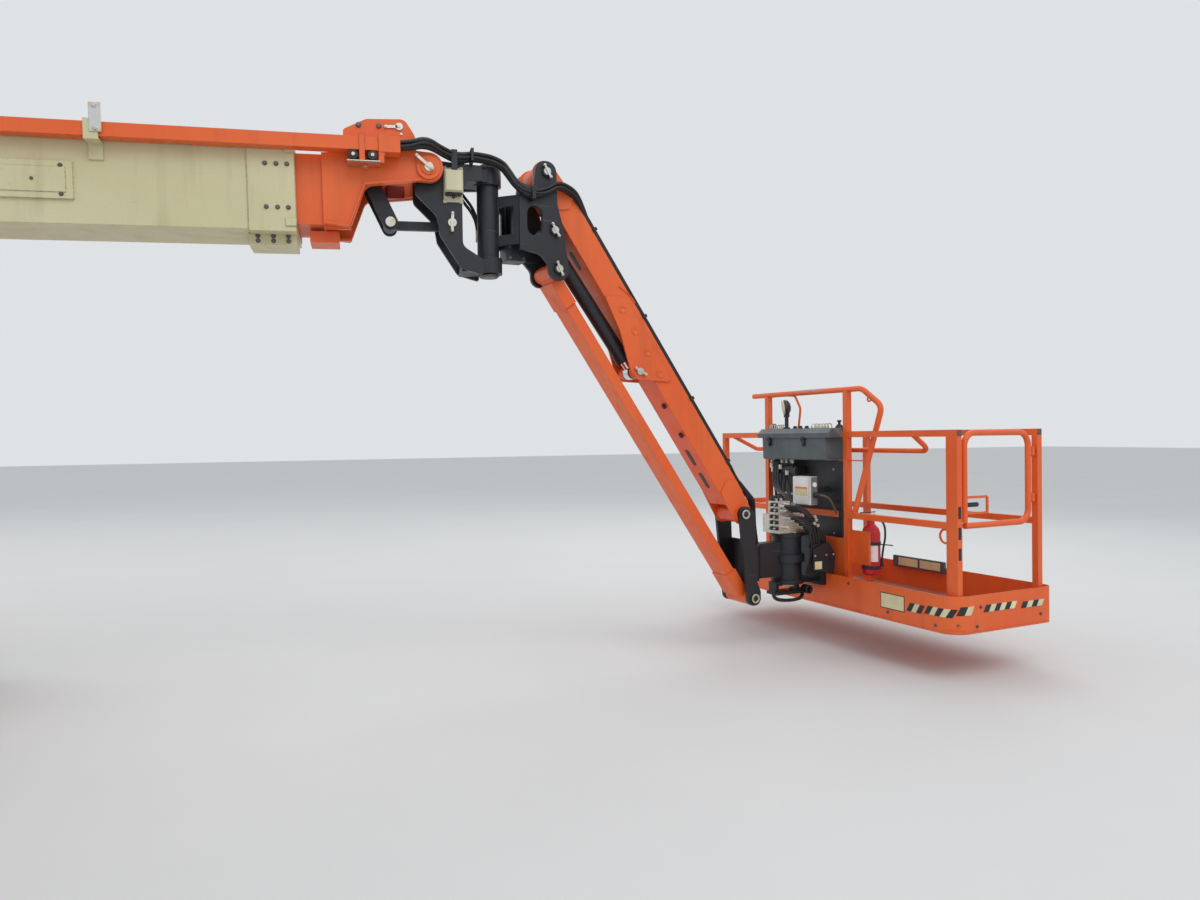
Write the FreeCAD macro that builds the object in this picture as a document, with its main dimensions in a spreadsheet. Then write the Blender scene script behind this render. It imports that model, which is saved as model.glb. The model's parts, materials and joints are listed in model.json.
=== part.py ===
import FreeCAD
import Part
import math
import os
import re

# Articulating boom lift, millimetres, +X forward, +Y left, +Z up, ground at z = 0.
# The telescopic tower lies back over the chassis, the telescopic upper boom lies on top of it
# and points forward, and the jib hangs from its nose with the platform just above the ground.

doc = FreeCAD.newDocument("boom_lift")
sheet = doc.addObject("Spreadsheet::Sheet", "sizes")

DRIVING_SIZES = (
    # running gear
    ("wheel_base", 3810), ("tyre_radius", 575), ("tyre_width", 445), ("track_half", 1022.5),
    ("lug_height", 24), ("lug_count", 13), ("tyre_sides", 32), ("rim_radius", 362), ("hub_radius", 170),
    ("kingpin_half", 770), ("kingpin_radius", 45), ("yoke_reach", 205), ("yoke_plate", 40),
    ("beam_width", 180), ("beam_depth", 200), ("beam_inner", 460), ("beam_outer", 640),
    ("housing_half", 500), ("housing_wall", 20), ("slide_gap", 6),
    # chassis
    ("frame_half", 430), ("frame_low", 500), ("frame_top", 950), ("frame_end", 2230),
    ("frame_wall", 30), ("ring_radius", 560), ("ring_top", 1160),
    # turntable
    ("deck_low", 1180), ("deck_wall", 40), ("deck_rear", 2840), ("deck_front", 900),
    ("deck_half", 1215), ("cheek_half", 230), ("cheek_wall", 30), ("hood_top", 2240),
    ("hood_wall", 6), ("hood_round", 170), ("tail_radius", 3650), ("tail_low", 1225),
    ("tail_top", 2150), ("notch_half", 400), ("notch_low", 1560),
    # tower
    ("tower_pivot_x", 2150), ("tower_pivot_z", 1900), ("tower_length", 5500),
    ("tower_half", 190), ("tower_depth", 430), ("tower_base_end", 4750),
    ("section_step", 20), ("section_wall", 8), ("section_gap", 0.3),
    ("tower_eye_x", 1300), ("tower_eye_drop", 460), ("tower_anchor_x", -1150),
    ("tower_anchor_z", 1340), ("big_pin", 50), ("big_lobe", 120),
    # upper boom
    ("boom_pivot_z", 2636.4), ("boom_slope", 1), ("boom_reach", 8457), ("nose_rise", 135),
    ("boom_half", 200), ("boom_depth", 450), ("boom_base_end", 7766), ("lift_anchor_x", 260),
    ("lift_anchor_drop", 400), ("lift_eye_x", 1900), ("lift_eye_drop", 345),
    ("rail_side", 70), ("rail_length", 6600), ("rail_offset", 212), ("rail_low", 184),
    # nose linkage
    ("swing_x", 344), ("link_pin_x", 130), ("link_pin_drop", 275), ("link_length", 333),
    ("swing_pin", 40), ("swing_angle", 11),
    # jib, measured from the nose pin's height and the swing axis
    ("jib_top_x", 305), ("jib_top_z", 48), ("jib_low_x", 68), ("jib_low_drop", 549),
    ("jib_cyl_x", 45), ("jib_cyl_drop", 330), ("jib_length", 2440), ("jib_angle", 56.4),
    ("jib_half", 100), ("jib_rod_x", 1277), ("jib_rod_drop", 112), ("jib_plate", 150),
    ("jib_pin", 30), ("pin_gap", 0.3), ("side_gap", 5),
    # platform, measured from the arm's lower upper pin
    ("rotator_x", 445), ("post_x", 755), ("floor_drop", 655), ("skirt_height", 220),
    ("skirt_back", 80), ("skirt_front", 760), ("skirt_half", 1220), ("skirt_wall", 6),
    ("rail_top", 1180), ("rail_mid", 620), ("post_depth", 678), ("post_half", 1170),
    ("tube", 40), ("guard_top", 1450),
)
for row, (alias, value) in enumerate(DRIVING_SIZES, start=1):
    sheet.set("A%d" % row, alias)
    sheet.set("B%d" % row, str(value))
    sheet.setAlias("B%d" % row, alias)
doc.recompute()
size = {alias: float(sheet.get(alias)) for alias, value in DRIVING_SIZES}

V = FreeCAD.Vector
NODES = []


class Sizes:
    """Reads the sheet by name, so that the code below can say s.tyre_radius."""

    def __getattr__(self, name):
        return size[name]


s = Sizes()


def bind(obj, prop, text):
    """Binds a property to the sheet; text is a formula of aliases, or a number."""
    formula = re.sub(r"[a-z]\w*", lambda m: "sizes." + m.group() if m.group() in size else m.group(), str(text))
    obj.setExpression(prop, formula)


def set_place(obj, at, rotation=None):
    if rotation is not None:
        obj.Placement = FreeCAD.Placement(V(0, 0, 0), rotation)
    for axis, text in zip("xyz", at):
        bind(obj, "Placement.Base." + axis, text)


def box(low, lengths):
    """A box from its low corner and its three lengths."""
    obj = doc.addObject("Part::Box", "block")
    for prop, text in zip(("Length", "Width", "Height"), lengths):
        bind(obj, prop, text)
    set_place(obj, low)
    return obj


def slab(half_x, half_y, half_z, at=(0, 0, 0)):
    """A box from its centre and its three half lengths."""
    halves = (half_x, half_y, half_z)
    low = ["%s - (%s)" % (centre, half) for centre, half in zip(at, halves)]
    return box(low, ["2 * (%s)" % half for half in halves])


AXIS_TURNS = {
    "x": FreeCAD.Rotation(V(0, 1, 0), 90),
    "y": FreeCAD.Rotation(V(1, 0, 0), -90),
    "z": FreeCAD.Rotation(),
}


def rod(radius, length, at, axis="y"):
    """A cylinder that starts at a point and runs along an axis."""
    obj = doc.addObject("Part::Cylinder", "rod")
    bind(obj, "Radius", radius)
    bind(obj, "Height", length)
    set_place(obj, at, AXIS_TURNS[axis])
    return obj


def pin(radius, half, x, z, y=0):
    """A cross pin or bore along Y, centred on the middle plane."""
    return rod(radius, "2 * (%s)" % half, (x, "%s - (%s)" % (y, half), z))


def rounded(points):
    """Lines and arcs round a closed outline of (x, y, corner radius)."""
    edges = []
    count = len(points)
    starts = []
    ends = []
    for i in range(count):
        before = V(points[i - 1][0], points[i - 1][1], 0)
        here = V(points[i][0], points[i][1], 0)
        after = V(points[(i + 1) % count][0], points[(i + 1) % count][1], 0)
        radius = points[i][2] if len(points[i]) > 2 else 0
        to_before = (before - here).normalize()
        to_after = (after - here).normalize()
        angle = to_before.getAngle(to_after)
        if radius <= 0 or abs(angle - math.pi) < 0.01:
            starts.append(here)
            ends.append(here)
            continue
        cut = radius / math.tan(angle / 2)
        start = here + to_before * cut
        end = here + to_after * cut
        middle_way = (to_before + to_after).normalize()
        centre = here + middle_way * (radius / math.sin(angle / 2))
        middle = centre - middle_way * radius
        edges.append((i, Part.Arc(start, middle, end)))
        starts.append(start)
        ends.append(end)
    arcs = dict(edges)
    result = []
    for i in range(count):
        if i in arcs:
            result.append(arcs[i])
        gap = starts[(i + 1) % count] - ends[i]
        if gap.Length > 0.001:
            result.append(Part.LineSegment(ends[i], starts[(i + 1) % count]))
    return result


def link_outline(x1, z1, x2, z2, radius):
    """A bar with round ends about two pin centres, for plate()."""
    way = V(x2 - x1, z2 - z1, 0).normalize()
    side = V(-way.y, way.x, 0)
    bend = radius * 0.98
    corners = []
    for x, z, along, across in ((x1, z1, -1, 1), (x1, z1, -1, -1), (x2, z2, 1, -1), (x2, z2, 1, 1)):
        point = V(x, z, 0) + way * (along * radius) + side * (across * radius)
        corners.append((point.x, point.y, bend))
    return corners


PLANES = {
    "xy": (FreeCAD.Rotation(), V(0, 0, 1), 2),
    "xz": (FreeCAD.Rotation(V(1, 0, 0), 90), V(0, 1, 0), 1),
    "yz": (FreeCAD.Rotation(V(1, 1, 1), 120), V(1, 0, 0), 0),
}


def plate(outline, start, thickness, plane="xz", holes=(), slots=()):
    """A flat piece: a rounded outline with round holes (x, y, r) and upright slots (x, y, half width, half height)."""
    turn, normal, index = PLANES[plane]
    sketch = doc.addObject("Sketcher::SketchObject", "outline")
    sketch.addGeometry(rounded(outline), False)
    for x, y, radius in holes:
        sketch.addGeometry(Part.Circle(V(x, y, 0), V(0, 0, 1), radius), False)
    for x, y, half_x, half_y in slots:
        bend = min(half_x, half_y) * 0.98
        corners = ((x - half_x, y - half_y, bend), (x + half_x, y - half_y, bend),
                   (x + half_x, y + half_y, bend), (x - half_x, y + half_y, bend))
        sketch.addGeometry(rounded(corners), False)
    at = [0, 0, 0]
    at[index] = start
    set_place(sketch, at, turn)
    solid = doc.addObject("Part::Extrusion", "plate")
    solid.Base = sketch
    solid.DirMode = "Custom"
    solid.Dir = normal
    solid.Solid = True
    bind(solid, "LengthFwd", thickness)
    return solid


def pair(outline, inner, thickness, holes=(), slots=()):
    """Two like upright plates, one on each side of the middle plane."""
    left = plate(outline, inner, thickness, "xz", holes, slots)
    right = plate(outline, "-(%s) - (%s)" % (inner, thickness), thickness, "xz", holes, slots)
    return [left, right]


def revolved(points, axis, at=(0, 0, 0)):
    """A turned piece: an outline of (radius, along, corner radius) turned about an axis."""
    body = doc.addObject("PartDesign::Body", "turned")
    sketch = body.newObject("Sketcher::SketchObject", "section")
    planes = {feature.Role: feature for feature in body.Origin.OriginFeatures}
    sketch.AttachmentSupport = [(planes["XZ_Plane"], "")]
    sketch.MapMode = "FlatFace"
    sketch.addGeometry(rounded(points), False)
    turn = body.newObject("PartDesign::Revolution", "turn")
    turn.Profile = sketch
    turn.ReferenceAxis = (sketch, ["V_Axis"])
    turn.Angle = 360
    body.Tip = turn
    set_place(body, at, AXIS_TURNS[axis])
    return body


def many_sided(profile, axis_turn):
    """A many-sided solid about an axis, from an outline of (radius, along) that starts and ends on flat faces."""
    sections = []
    for radius, along in profile:
        section = doc.addObject("Part::RegularPolygon", "section")
        bind(section, "Polygon", "tyre_sides")
        bind(section, "Circumradius", radius)
        set_place(section, (0, along, 0), axis_turn)
        sections.append(section)
    solid = doc.addObject("Part::Loft", "ring")
    solid.Sections = sections
    solid.Solid = True
    solid.Ruled = True
    return solid


def fused(parts):
    if len(parts) == 1:
        return parts[0]
    obj = doc.addObject("Part::MultiFuse", "joined")
    obj.Shapes = parts
    return obj


def cut(base, tools):
    obj = doc.addObject("Part::Cut", "cut")
    obj.Base = base
    obj.Tool = fused(tools)
    return obj


def tube_shape(points, radius, bend):
    """A bent round tube along points, of straight runs and arcs with the same bend radius."""
    pieces = []
    start = V(*points[0])
    for i in range(1, len(points) - 1):
        before, here, after = V(*points[i - 1]), V(*points[i]), V(*points[i + 1])
        to_before = (before - here).normalize()
        to_after = (after - here).normalize()
        angle = to_before.getAngle(to_after)
        reach = bend / math.tan(angle / 2)
        inward = (to_before + to_after).normalize()
        centre = here + inward * (bend / math.sin(angle / 2))
        arc_start = here + to_before * reach
        heading = to_before * -1
        pieces.append(Part.makeCylinder(radius, (arc_start - start).Length, start, heading))
        disc = Part.Face(Part.Wire(Part.makeCircle(radius, arc_start, heading)))
        turn_axis = heading.cross(to_after)
        pieces.append(disc.revolve(centre, turn_axis, 180 - math.degrees(angle)))
        start = here + to_after * reach
    last = V(*points[-1])
    pieces.append(Part.makeCylinder(radius, (last - start).Length, start, last - start))
    return pieces[0].fuse(pieces[1:])


def bent_tube(points, radius, bend):
    obj = doc.addObject("Part::Feature", "tube")
    obj.Shape = tube_shape(points, radius, bend)
    return obj


HOSE_SIDES = 8
HOSE_TURN = 30


def hose_stations(points, bend):
    """Places and headings along a bent route: both ends, and steps of HOSE_TURN degrees round each arc."""
    stations = [(V(*points[0]), (V(*points[1]) - V(*points[0])).normalize())]
    for i in range(1, len(points) - 1):
        here = V(*points[i])
        to_before = (V(*points[i - 1]) - here).normalize()
        to_after = (V(*points[i + 1]) - here).normalize()
        angle = to_before.getAngle(to_after)
        inward = (to_before + to_after).normalize()
        centre = here + inward * (bend / math.sin(angle / 2))
        arc_start = here + to_before * (bend / math.tan(angle / 2))
        heading = to_before * -1
        axis = heading.cross(to_after)
        turn = 180 - math.degrees(angle)
        steps = max(1, math.ceil(turn / HOSE_TURN))
        for step in range(steps + 1):
            part_turn = FreeCAD.Rotation(axis, turn * step / steps)
            stations.append((centre + part_turn.multVec(arc_start - centre), part_turn.multVec(heading)))
    stations.append((V(*points[-1]), (V(*points[-1]) - V(*points[-2])).normalize()))
    return stations


def hose(points, radius, bend):
    """A rubber hose with a many-sided section, along points joined by tangent arcs."""
    stations = hose_stations(points, bend)
    last = stations[0][1]
    side = last.cross(V(0.3, 0.2, 1)).normalize()
    rings = []
    for at, heading in stations:
        turn = last.getAngle(heading)
        if turn > 1e-5:
            side = FreeCAD.Rotation(last.cross(heading), math.degrees(turn)).multVec(side)
        last = heading
        other = heading.cross(side)
        corners = []
        for i in range(HOSE_SIDES):
            angle = 2 * math.pi * i / HOSE_SIDES
            corners.append(at + side * (radius * math.cos(angle)) + other * (radius * math.sin(angle)))
        rings.append(corners)
    faces = [Part.Face(Part.makePolygon(ring + ring[:1])) for ring in (rings[0], rings[-1])]
    for near, far in zip(rings, rings[1:]):
        for i in range(HOSE_SIDES):
            j = (i + 1) % HOSE_SIDES
            faces.append(Part.Face(Part.makePolygon([near[i], near[j], far[j], far[i], near[i]])))
    skin = Part.makeShell(faces)
    skin.sewShape()
    solid = Part.makeSolid(skin)
    if solid.Volume < 0:
        solid.reverse()
    obj = doc.addObject("Part::Feature", "hose")
    obj.Shape = solid
    return obj


def node(label, parts, frame, cuts=()):
    """Finishes one named piece of the machine and puts it in its frame."""
    final = fused(parts)
    if len(parts) > 1 and cuts:
        final = cut(final, list(cuts))
    elif cuts:
        final = cut(parts[0], list(cuts))
    holder = doc.addObject("Part::Compound", "piece")
    holder.Links = [final]
    holder.Label = label
    holder.Placement = frame
    NODES.append(holder)
    return holder


def frame_at(x, z, pitch=0.0, y=0.0, yaw=0.0):
    """A frame at a point, turned by yaw about Z and then pitched nose-up."""
    turn = FreeCAD.Rotation(V(0, 0, 1), yaw) * FreeCAD.Rotation(V(0, 1, 0), -pitch)
    return FreeCAD.Placement(V(x, y, z), turn)


# Frames of the machine, from the ground up
GROUND = frame_at(0, 0)
TOWER = frame_at(s.tower_pivot_x, s.tower_pivot_z, 0, 0, 180)
HEAD_X = s.tower_pivot_x - s.tower_length
UPRIGHT = frame_at(HEAD_X, s.tower_pivot_z)
BOOM = frame_at(HEAD_X, s.boom_pivot_z, s.boom_slope)
NOSE_POINT = BOOM.multVec(V(s.boom_reach, 0, s.nose_rise))
NOSE = frame_at(NOSE_POINT.x, NOSE_POINT.z)
JIB = frame_at(NOSE_POINT.x + s.swing_x, NOSE_POINT.z, 0, 0, s.swing_angle)
ARM_TURN = frame_at(0, 0, -s.jib_angle)
UPPER_ARM = JIB * FreeCAD.Placement(V(s.jib_top_x, 0, s.jib_top_z), ARM_TURN.Rotation)
LOWER_ARM = JIB * FreeCAD.Placement(
    V(s.jib_top_x + s.jib_low_x, 0, s.jib_top_z - s.jib_low_drop), ARM_TURN.Rotation)
ARM_END = ARM_TURN.multVec(V(s.jib_length, 0, 0)) + V(s.jib_top_x, 0, s.jib_top_z)
JIB_END = JIB * FreeCAD.Placement(ARM_END, FreeCAD.Rotation())
ROTATOR = JIB_END * FreeCAD.Placement(V(s.rotator_x, 0, 0), FreeCAD.Rotation())
PLATFORM = JIB_END * FreeCAD.Placement(V(s.post_x, 0, -s.floor_drop), FreeCAD.Rotation())


def cylinder_frame(parent, start, end):
    """The frame of a hydraulic cylinder: its barrel's pin, looking at its rod's eye."""
    run = V(*end) - V(*start)
    pitch = math.degrees(math.atan2(run.z, run.x))
    turn = FreeCAD.Rotation(V(0, 1, 0), -pitch)
    return parent * FreeCAD.Placement(V(*start), turn), run.Length


# Wheels, knuckles and extending axle beams

TYRE_SEGMENT_HALF = s.tyre_width / 2


def make_wheel(name, x, y, side):
    frame = frame_at(x, s.tyre_radius, 0, y)
    carcass = s.tyre_radius - s.lug_height
    half = TYRE_SEGMENT_HALF
    bead = s.rim_radius
    turn_y = AXIS_TURNS["y"]
    flat = 1 / math.cos(math.pi / s.tyre_sides)
    carcass_ring = many_sided((
        (bead + 16, -half + 40), (carcass - 110, -half + 4), (carcass - 55, -half), (carcass, -half + 45),
        (carcass, half - 45), (carcass - 55, half), (carcass - 110, half - 4), (bead + 16, half - 40)), turn_y)
    opening = doc.addObject("Part::Prism", "opening")
    bind(opening, "Polygon", "tyre_sides")
    bind(opening, "Circumradius", (bead + s.pin_gap) * flat)
    bind(opening, "Height", "tyre_width")
    set_place(opening, (0, -half, 0), turn_y)
    tyre = cut(carcass_ring, [opening])
    ring = many_sided((
        (carcass - 10, -half + 12), (s.tyre_radius - 12, -half + 14), (s.tyre_radius, -half + 45),
        (s.tyre_radius, half - 45), (s.tyre_radius - 12, half - 14), (carcass - 10, half - 12)), turn_y)
    blades = []
    count = int(s.lug_count)
    for hand in (-1, 1):
        for i in range(count):
            blade = doc.addObject("Part::Box", "lug")
            blade.Length = 62
            blade.Width = half - 20
            blade.Height = 100
            turn = FreeCAD.Rotation(V(0, 1, 0), (i + 0.25 * (hand + 1)) * 360 / count)
            lean = FreeCAD.Rotation(V(0, 0, 1), -hand * 24)
            place = FreeCAD.Placement(V(0, 0, 0), turn)
            low = V(-31, 4, carcass - 40) if hand > 0 else V(-31, 4 - half + 12, carcass - 40)
            blade.Placement = place * FreeCAD.Placement(V(0, 0, 0), lean) * FreeCAD.Placement(low, FreeCAD.Rotation())
            blades.append(blade)
    bars = doc.addObject("Part::MultiFuse", "lugs")
    bars.Shapes = blades
    tread = doc.addObject("Part::Common", "tread")
    tread.Base = ring
    tread.Tool = bars
    node("tyre_" + name, [tyre, tread], frame)
    # the rim is open towards the knuckle and closed by a dished disc at its outer face
    outer = half - 40
    rim = revolved((
        (0, outer - 70), (s.hub_radius, outer - 70), (s.hub_radius + 60, outer - 120),
        (bead - 40, outer - 90), (bead - 40, -outer), (bead - 0.5, -outer), (bead - 0.5, outer),
        (bead - 30, outer), (bead - 50, outer - 60), (s.hub_radius + 60, outer - 90),
        (s.hub_radius, outer - 40), (0, outer - 40)), "y")
    rim_frame = frame if side > 0 else frame * FreeCAD.Placement(V(0, 0, 0), FreeCAD.Rotation(V(0, 0, 1), 180))
    node("rim_" + name, [rim], rim_frame)


def make_knuckle(name, x, side):
    """The steered drive hub: a kingpin barrel and the drum that carries the wheel."""
    turn = 0 if side > 0 else 180
    frame = frame_at(x, s.tyre_radius, 0, side * s.kingpin_half, turn)
    reach = s.track_half - s.kingpin_half
    drum_end = reach + TYRE_SEGMENT_HALF - 40 - 70 - s.pin_gap
    inner = s.yoke_reach - s.yoke_plate / 2
    barrel = rod(85, 2 * (inner - 1), (0, 0, -(inner - 1)), "z")
    drum = rod("hub_radius - 2", drum_end - 60, (0, 60, 0))
    neck = slab(80, 60, 120, (0, 40, 0))
    bore = rod("kingpin_radius + pin_gap", 2 * inner + 40, (0, 0, -(inner + 20)), "z")
    node("knuckle_" + name, [barrel, drum, neck], frame, [bore])


def make_beam(name, x, side):
    """One sliding axle beam with the yoke that holds the kingpin."""
    turn = 0 if side > 0 else 180
    frame = frame_at(x, s.tyre_radius, 0, 0, turn)
    offset = "(beam_width / 2 + slide_gap + housing_wall / 2)"
    length = s.beam_inner + s.beam_outer
    outer = box(("%s - beam_width / 2" % offset, "-beam_inner", "-beam_depth / 2"),
                ("beam_width", length, "beam_depth"))
    hollow = box(("%s - beam_width / 2 + 18" % offset, "-beam_inner - 1", "-beam_depth / 2 + 18"),
                 ("beam_width - 36", length - 30, "beam_depth - 36"))
    head = slab("beam_width / 2 + %s / 2 + 45" % offset, 30, "yoke_reach + yoke_plate / 2",
                ("%s / 2" % offset, s.beam_outer - 30 + 20, 0))
    arms = []
    for level in (-1, 1):
        outline = ((-90, s.beam_outer, 0), (90 + 100, s.beam_outer, 0), (88, s.kingpin_half + 20, 40),
                   (60, s.kingpin_half + 88, 60), (-60, s.kingpin_half + 88, 60), (-88, s.kingpin_half + 20, 40))
        low = "%d * yoke_reach - yoke_plate / 2" % level
        arms.append(plate(outline, low, "yoke_plate", "xy"))
    kingpin = rod("kingpin_radius", "2 * yoke_reach + 60", (0, "kingpin_half", "-yoke_reach - 30"), "z")
    node("axle_beam_" + name, [cut(outer, [hollow]), head, kingpin] + arms, frame)


CORNERS = (("front_left", 1, 1), ("front_right", 1, -1), ("rear_left", -1, 1), ("rear_right", -1, -1))
for corner, end, side in CORNERS:
    axle_x = end * s.wheel_base / 2
    make_wheel(corner, axle_x, side * s.track_half, side)
    make_knuckle(corner, axle_x, side)
    make_beam(corner, axle_x, side)


# Chassis: a box frame that rises over the two axle housings, and the slewing ring

def make_chassis():
    half_base = s.wheel_base / 2
    cell = s.beam_width + 2 * s.slide_gap
    housing_x = cell + 1.5 * s.housing_wall
    housing_z = s.beam_depth / 2 + s.slide_gap + s.housing_wall
    over_axle = s.tyre_radius + housing_z - 10
    side_view = (
        (-s.frame_end, over_axle, 30), (-half_base + housing_x + 20, over_axle), (-half_base + housing_x + 140, s.frame_low, 40),
        (half_base - housing_x - 140, s.frame_low, 40), (half_base - housing_x - 20, over_axle), (s.frame_end, over_axle, 30),
        (s.frame_end, s.frame_top - 60, 30), (s.frame_end - 90, s.frame_top, 40),
        (-s.frame_end + 90, s.frame_top, 40), (-s.frame_end, s.frame_top - 60, 30))
    shell = plate(side_view, "-frame_half", "2 * frame_half")
    inner_x = half_base - housing_x - 175
    hollow = slab(inner_x, "frame_half - frame_wall", "(frame_top - frame_low) / 2 - frame_wall",
                  (0, 0, "(frame_top + frame_low) / 2"))
    access = slab(420, 240, 60, (0, 0, "frame_low"))
    frame = cut(shell, [hollow, access])
    pieces = [frame]
    pockets = []
    pads = []
    for end in (-1, 1):
        x = end * half_base
        pieces.append(slab(housing_x, "housing_half", housing_z, (x, 0, "tyre_radius")))
        for side in (-1, 1):
            centre = x + side * (s.beam_width / 2 + s.slide_gap + s.housing_wall / 2)
            pockets.append(slab("beam_width / 2 + slide_gap", "housing_half + 10", "beam_depth / 2 + slide_gap",
                                (centre, 0, "tyre_radius")))
            pads += beam_pads(centre, side * end)
    return pieces, pockets, pads


def beam_pads(centre, side):
    """Wear pads in the mouth of one housing, on the four faces of its sliding beam."""
    thick = s.slide_gap - s.section_gap + 2
    near = s.section_gap + thick / 2
    mouth = side * (s.housing_half - 45)
    pads = []
    for sign in (-1, 1):
        pads.append(slab(60, 30, thick / 2, (centre, mouth, s.tyre_radius + sign * (s.beam_depth / 2 + near))))
        pads.append(slab(thick / 2, 30, 60, (centre + sign * (s.beam_width / 2 + near), mouth, "tyre_radius")))
    return pads


chassis_parts, chassis_pockets, chassis_pads = make_chassis()
bumpers = []
TIE_DOWN_X = s.frame_end + 35
TIE_DOWN_Y = 300
TIE_DOWN_Z = 700
TIE_DOWN_THICK = 40
TIE_DOWN_HOLE = 26
for end in (-1, 1):
    for side in (-1, 1):
        root = end * (s.frame_end - 60)
        tip = end * (s.frame_end + 90)
        lug_y = side * TIE_DOWN_Y
        bumpers.append(plate(((root, lug_y - 75), (tip, lug_y - 75, 50), (tip, lug_y + 75, 50), (root, lug_y + 75)),
                             TIE_DOWN_Z, TIE_DOWN_THICK, "xy", ((end * TIE_DOWN_X, lug_y, TIE_DOWN_HOLE),)))
slew_ring = rod("ring_radius", "ring_top - frame_top - section_gap", (0, 0, "frame_top + section_gap"), "z")
slew_bore = rod("ring_radius - 160", "ring_top - frame_top + 80", (0, 0, "frame_top - 40"), "z")
node("chassis_frame", [cut(fused(chassis_parts + bumpers), chassis_pockets)] + chassis_pads, GROUND)
node("slewing_ring", [cut(slew_ring, [slew_bore])], GROUND)


# Turntable: deck, cheek plates that carry the tower pivot, counterweight and hoods

HOOD_INNER = s.cheek_half + s.cheek_wall + 15
HOOD_HINGES = (-2600, -1000, 600)
HINGE_HALF = 40
HINGE_REACH = 100
HINGE_OUTER = 14
HINGE_PIN = 7


def make_turntable():
    bearing = rod("ring_radius + 40", "deck_low + deck_wall - ring_top - section_gap",
                  (0, 0, "ring_top + section_gap"), "z")
    deck = box(("-deck_rear", "-cheek_half - cheek_wall", "deck_low"),
               ("deck_rear + tower_pivot_x - 200", "2 * (cheek_half + cheek_wall)", "deck_wall"))
    trays = []
    for side in (-1, 1):
        low_y = "cheek_half + cheek_wall - 5" if side > 0 else "-deck_half"
        trays.append(box(("-deck_rear", low_y, "deck_low"), ("deck_rear + deck_front", "deck_half - cheek_half - cheek_wall + 5", "deck_wall")))
    pivot_x, pivot_z = s.tower_pivot_x, s.tower_pivot_z
    top = s.deck_low + s.deck_wall - 5
    side_view = (
        (-s.deck_rear, top), (pivot_x - 250, top), (pivot_x + 60, top + 60, 40), (pivot_x + 150, pivot_z - 60, 60),
        (pivot_x + 135, pivot_z + 135, 130), (pivot_x - 140, pivot_z + 135, 130), (pivot_x - 620, s.notch_low + 70, 80),
        (pivot_x - 1100, s.notch_low + 40, 60), (-s.deck_rear, s.notch_low + 40))
    cheeks = pair(side_view, "cheek_half", "cheek_wall")
    tower_pin = pin("big_pin", "cheek_half + cheek_wall + 18", "tower_pivot_x", "tower_pivot_z")
    ears = pair(((s.tower_anchor_x - 100, top), (s.tower_anchor_x + 120, top), (s.tower_anchor_x + 60, s.tower_anchor_z + 70, 60),
                 (s.tower_anchor_x - 65, s.tower_anchor_z + 70, 60)), 104, 25)
    cyl_pin = pin(40, 145, "tower_anchor_x", "tower_anchor_z")
    for sign in (-1, 1):
        ears.append(rod(60, 42, ("tower_anchor_x", sign * 85 - 21, "tower_anchor_z")))
    seat_z = s.tower_pivot_z - s.tower_depth / 2 - s.section_gap
    rest = slab(90, 150, 30, (-2410, 0, seat_z - 30))
    rest_beam = slab(60, "cheek_half + 5", 60, (-2410, 0, seat_z - 115))
    cross = slab(40, "cheek_half + 5", 48, (300, 0, top + 48))
    hinge_posts = []
    for side in (-1, 1):
        for x in HOOD_HINGES:
            low_y = "cheek_half + cheek_wall - 1" if side > 0 else "-(cheek_half + cheek_wall + 14.7)"
            hinge_posts.append(box((x - HINGE_HALF, low_y, top), (2 * HINGE_HALF, 15.7, s.hood_top - top)))
            hinge_posts.append(rod(HINGE_OUTER, 2 * HINGE_HALF, (x - HINGE_HALF, side * HOOD_INNER, "hood_top"), "x"))
            hinge_posts.append(rod(HINGE_PIN, 2 * HINGE_REACH, (x - HINGE_REACH, side * HOOD_INNER, "hood_top"), "x"))
    return [bearing, deck] + trays + cheeks + ears + hinge_posts + [tower_pin, cyl_pin, rest, rest_beam, cross]


node("turntable_frame", make_turntable(), GROUND)


def make_counterweight():
    side_y = s.deck_half - 15
    corner_x = -math.sqrt(s.tail_radius ** 2 - side_y ** 2)
    front_x = -s.deck_rear - s.section_gap
    sketch = doc.addObject("Sketcher::SketchObject", "tail")
    sketch.addGeometry([
        Part.LineSegment(V(front_x, -side_y, 0), V(front_x, side_y, 0)),
        Part.LineSegment(V(front_x, side_y, 0), V(corner_x, side_y, 0)),
        Part.Arc(V(corner_x, side_y, 0), V(-s.tail_radius, 0, 0), V(corner_x, -side_y, 0)),
        Part.LineSegment(V(corner_x, -side_y, 0), V(front_x, -side_y, 0))], False)
    set_place(sketch, (0, 0, "tail_low"))
    block = doc.addObject("Part::Extrusion", "tail_block")
    block.Base = sketch
    block.DirMode = "Custom"
    block.Dir = V(0, 0, 1)
    block.Solid = True
    bind(block, "LengthFwd", "tail_top - tail_low")
    notch = box(("-tail_radius - 10", "-notch_half", "notch_low"),
                ("tail_radius - deck_rear + 20", "2 * notch_half", "tail_top - notch_low + 10"))
    wedge = plate(((-s.tail_radius - 20, s.tail_low - 20), (-s.tail_radius + 260, s.tail_low - 20),
                   (-s.tail_radius - 20, s.tail_low + 260)), "-deck_half", "2 * deck_half")
    return cut(block, [notch, wedge])


node("counterweight", [make_counterweight()], GROUND)


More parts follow.
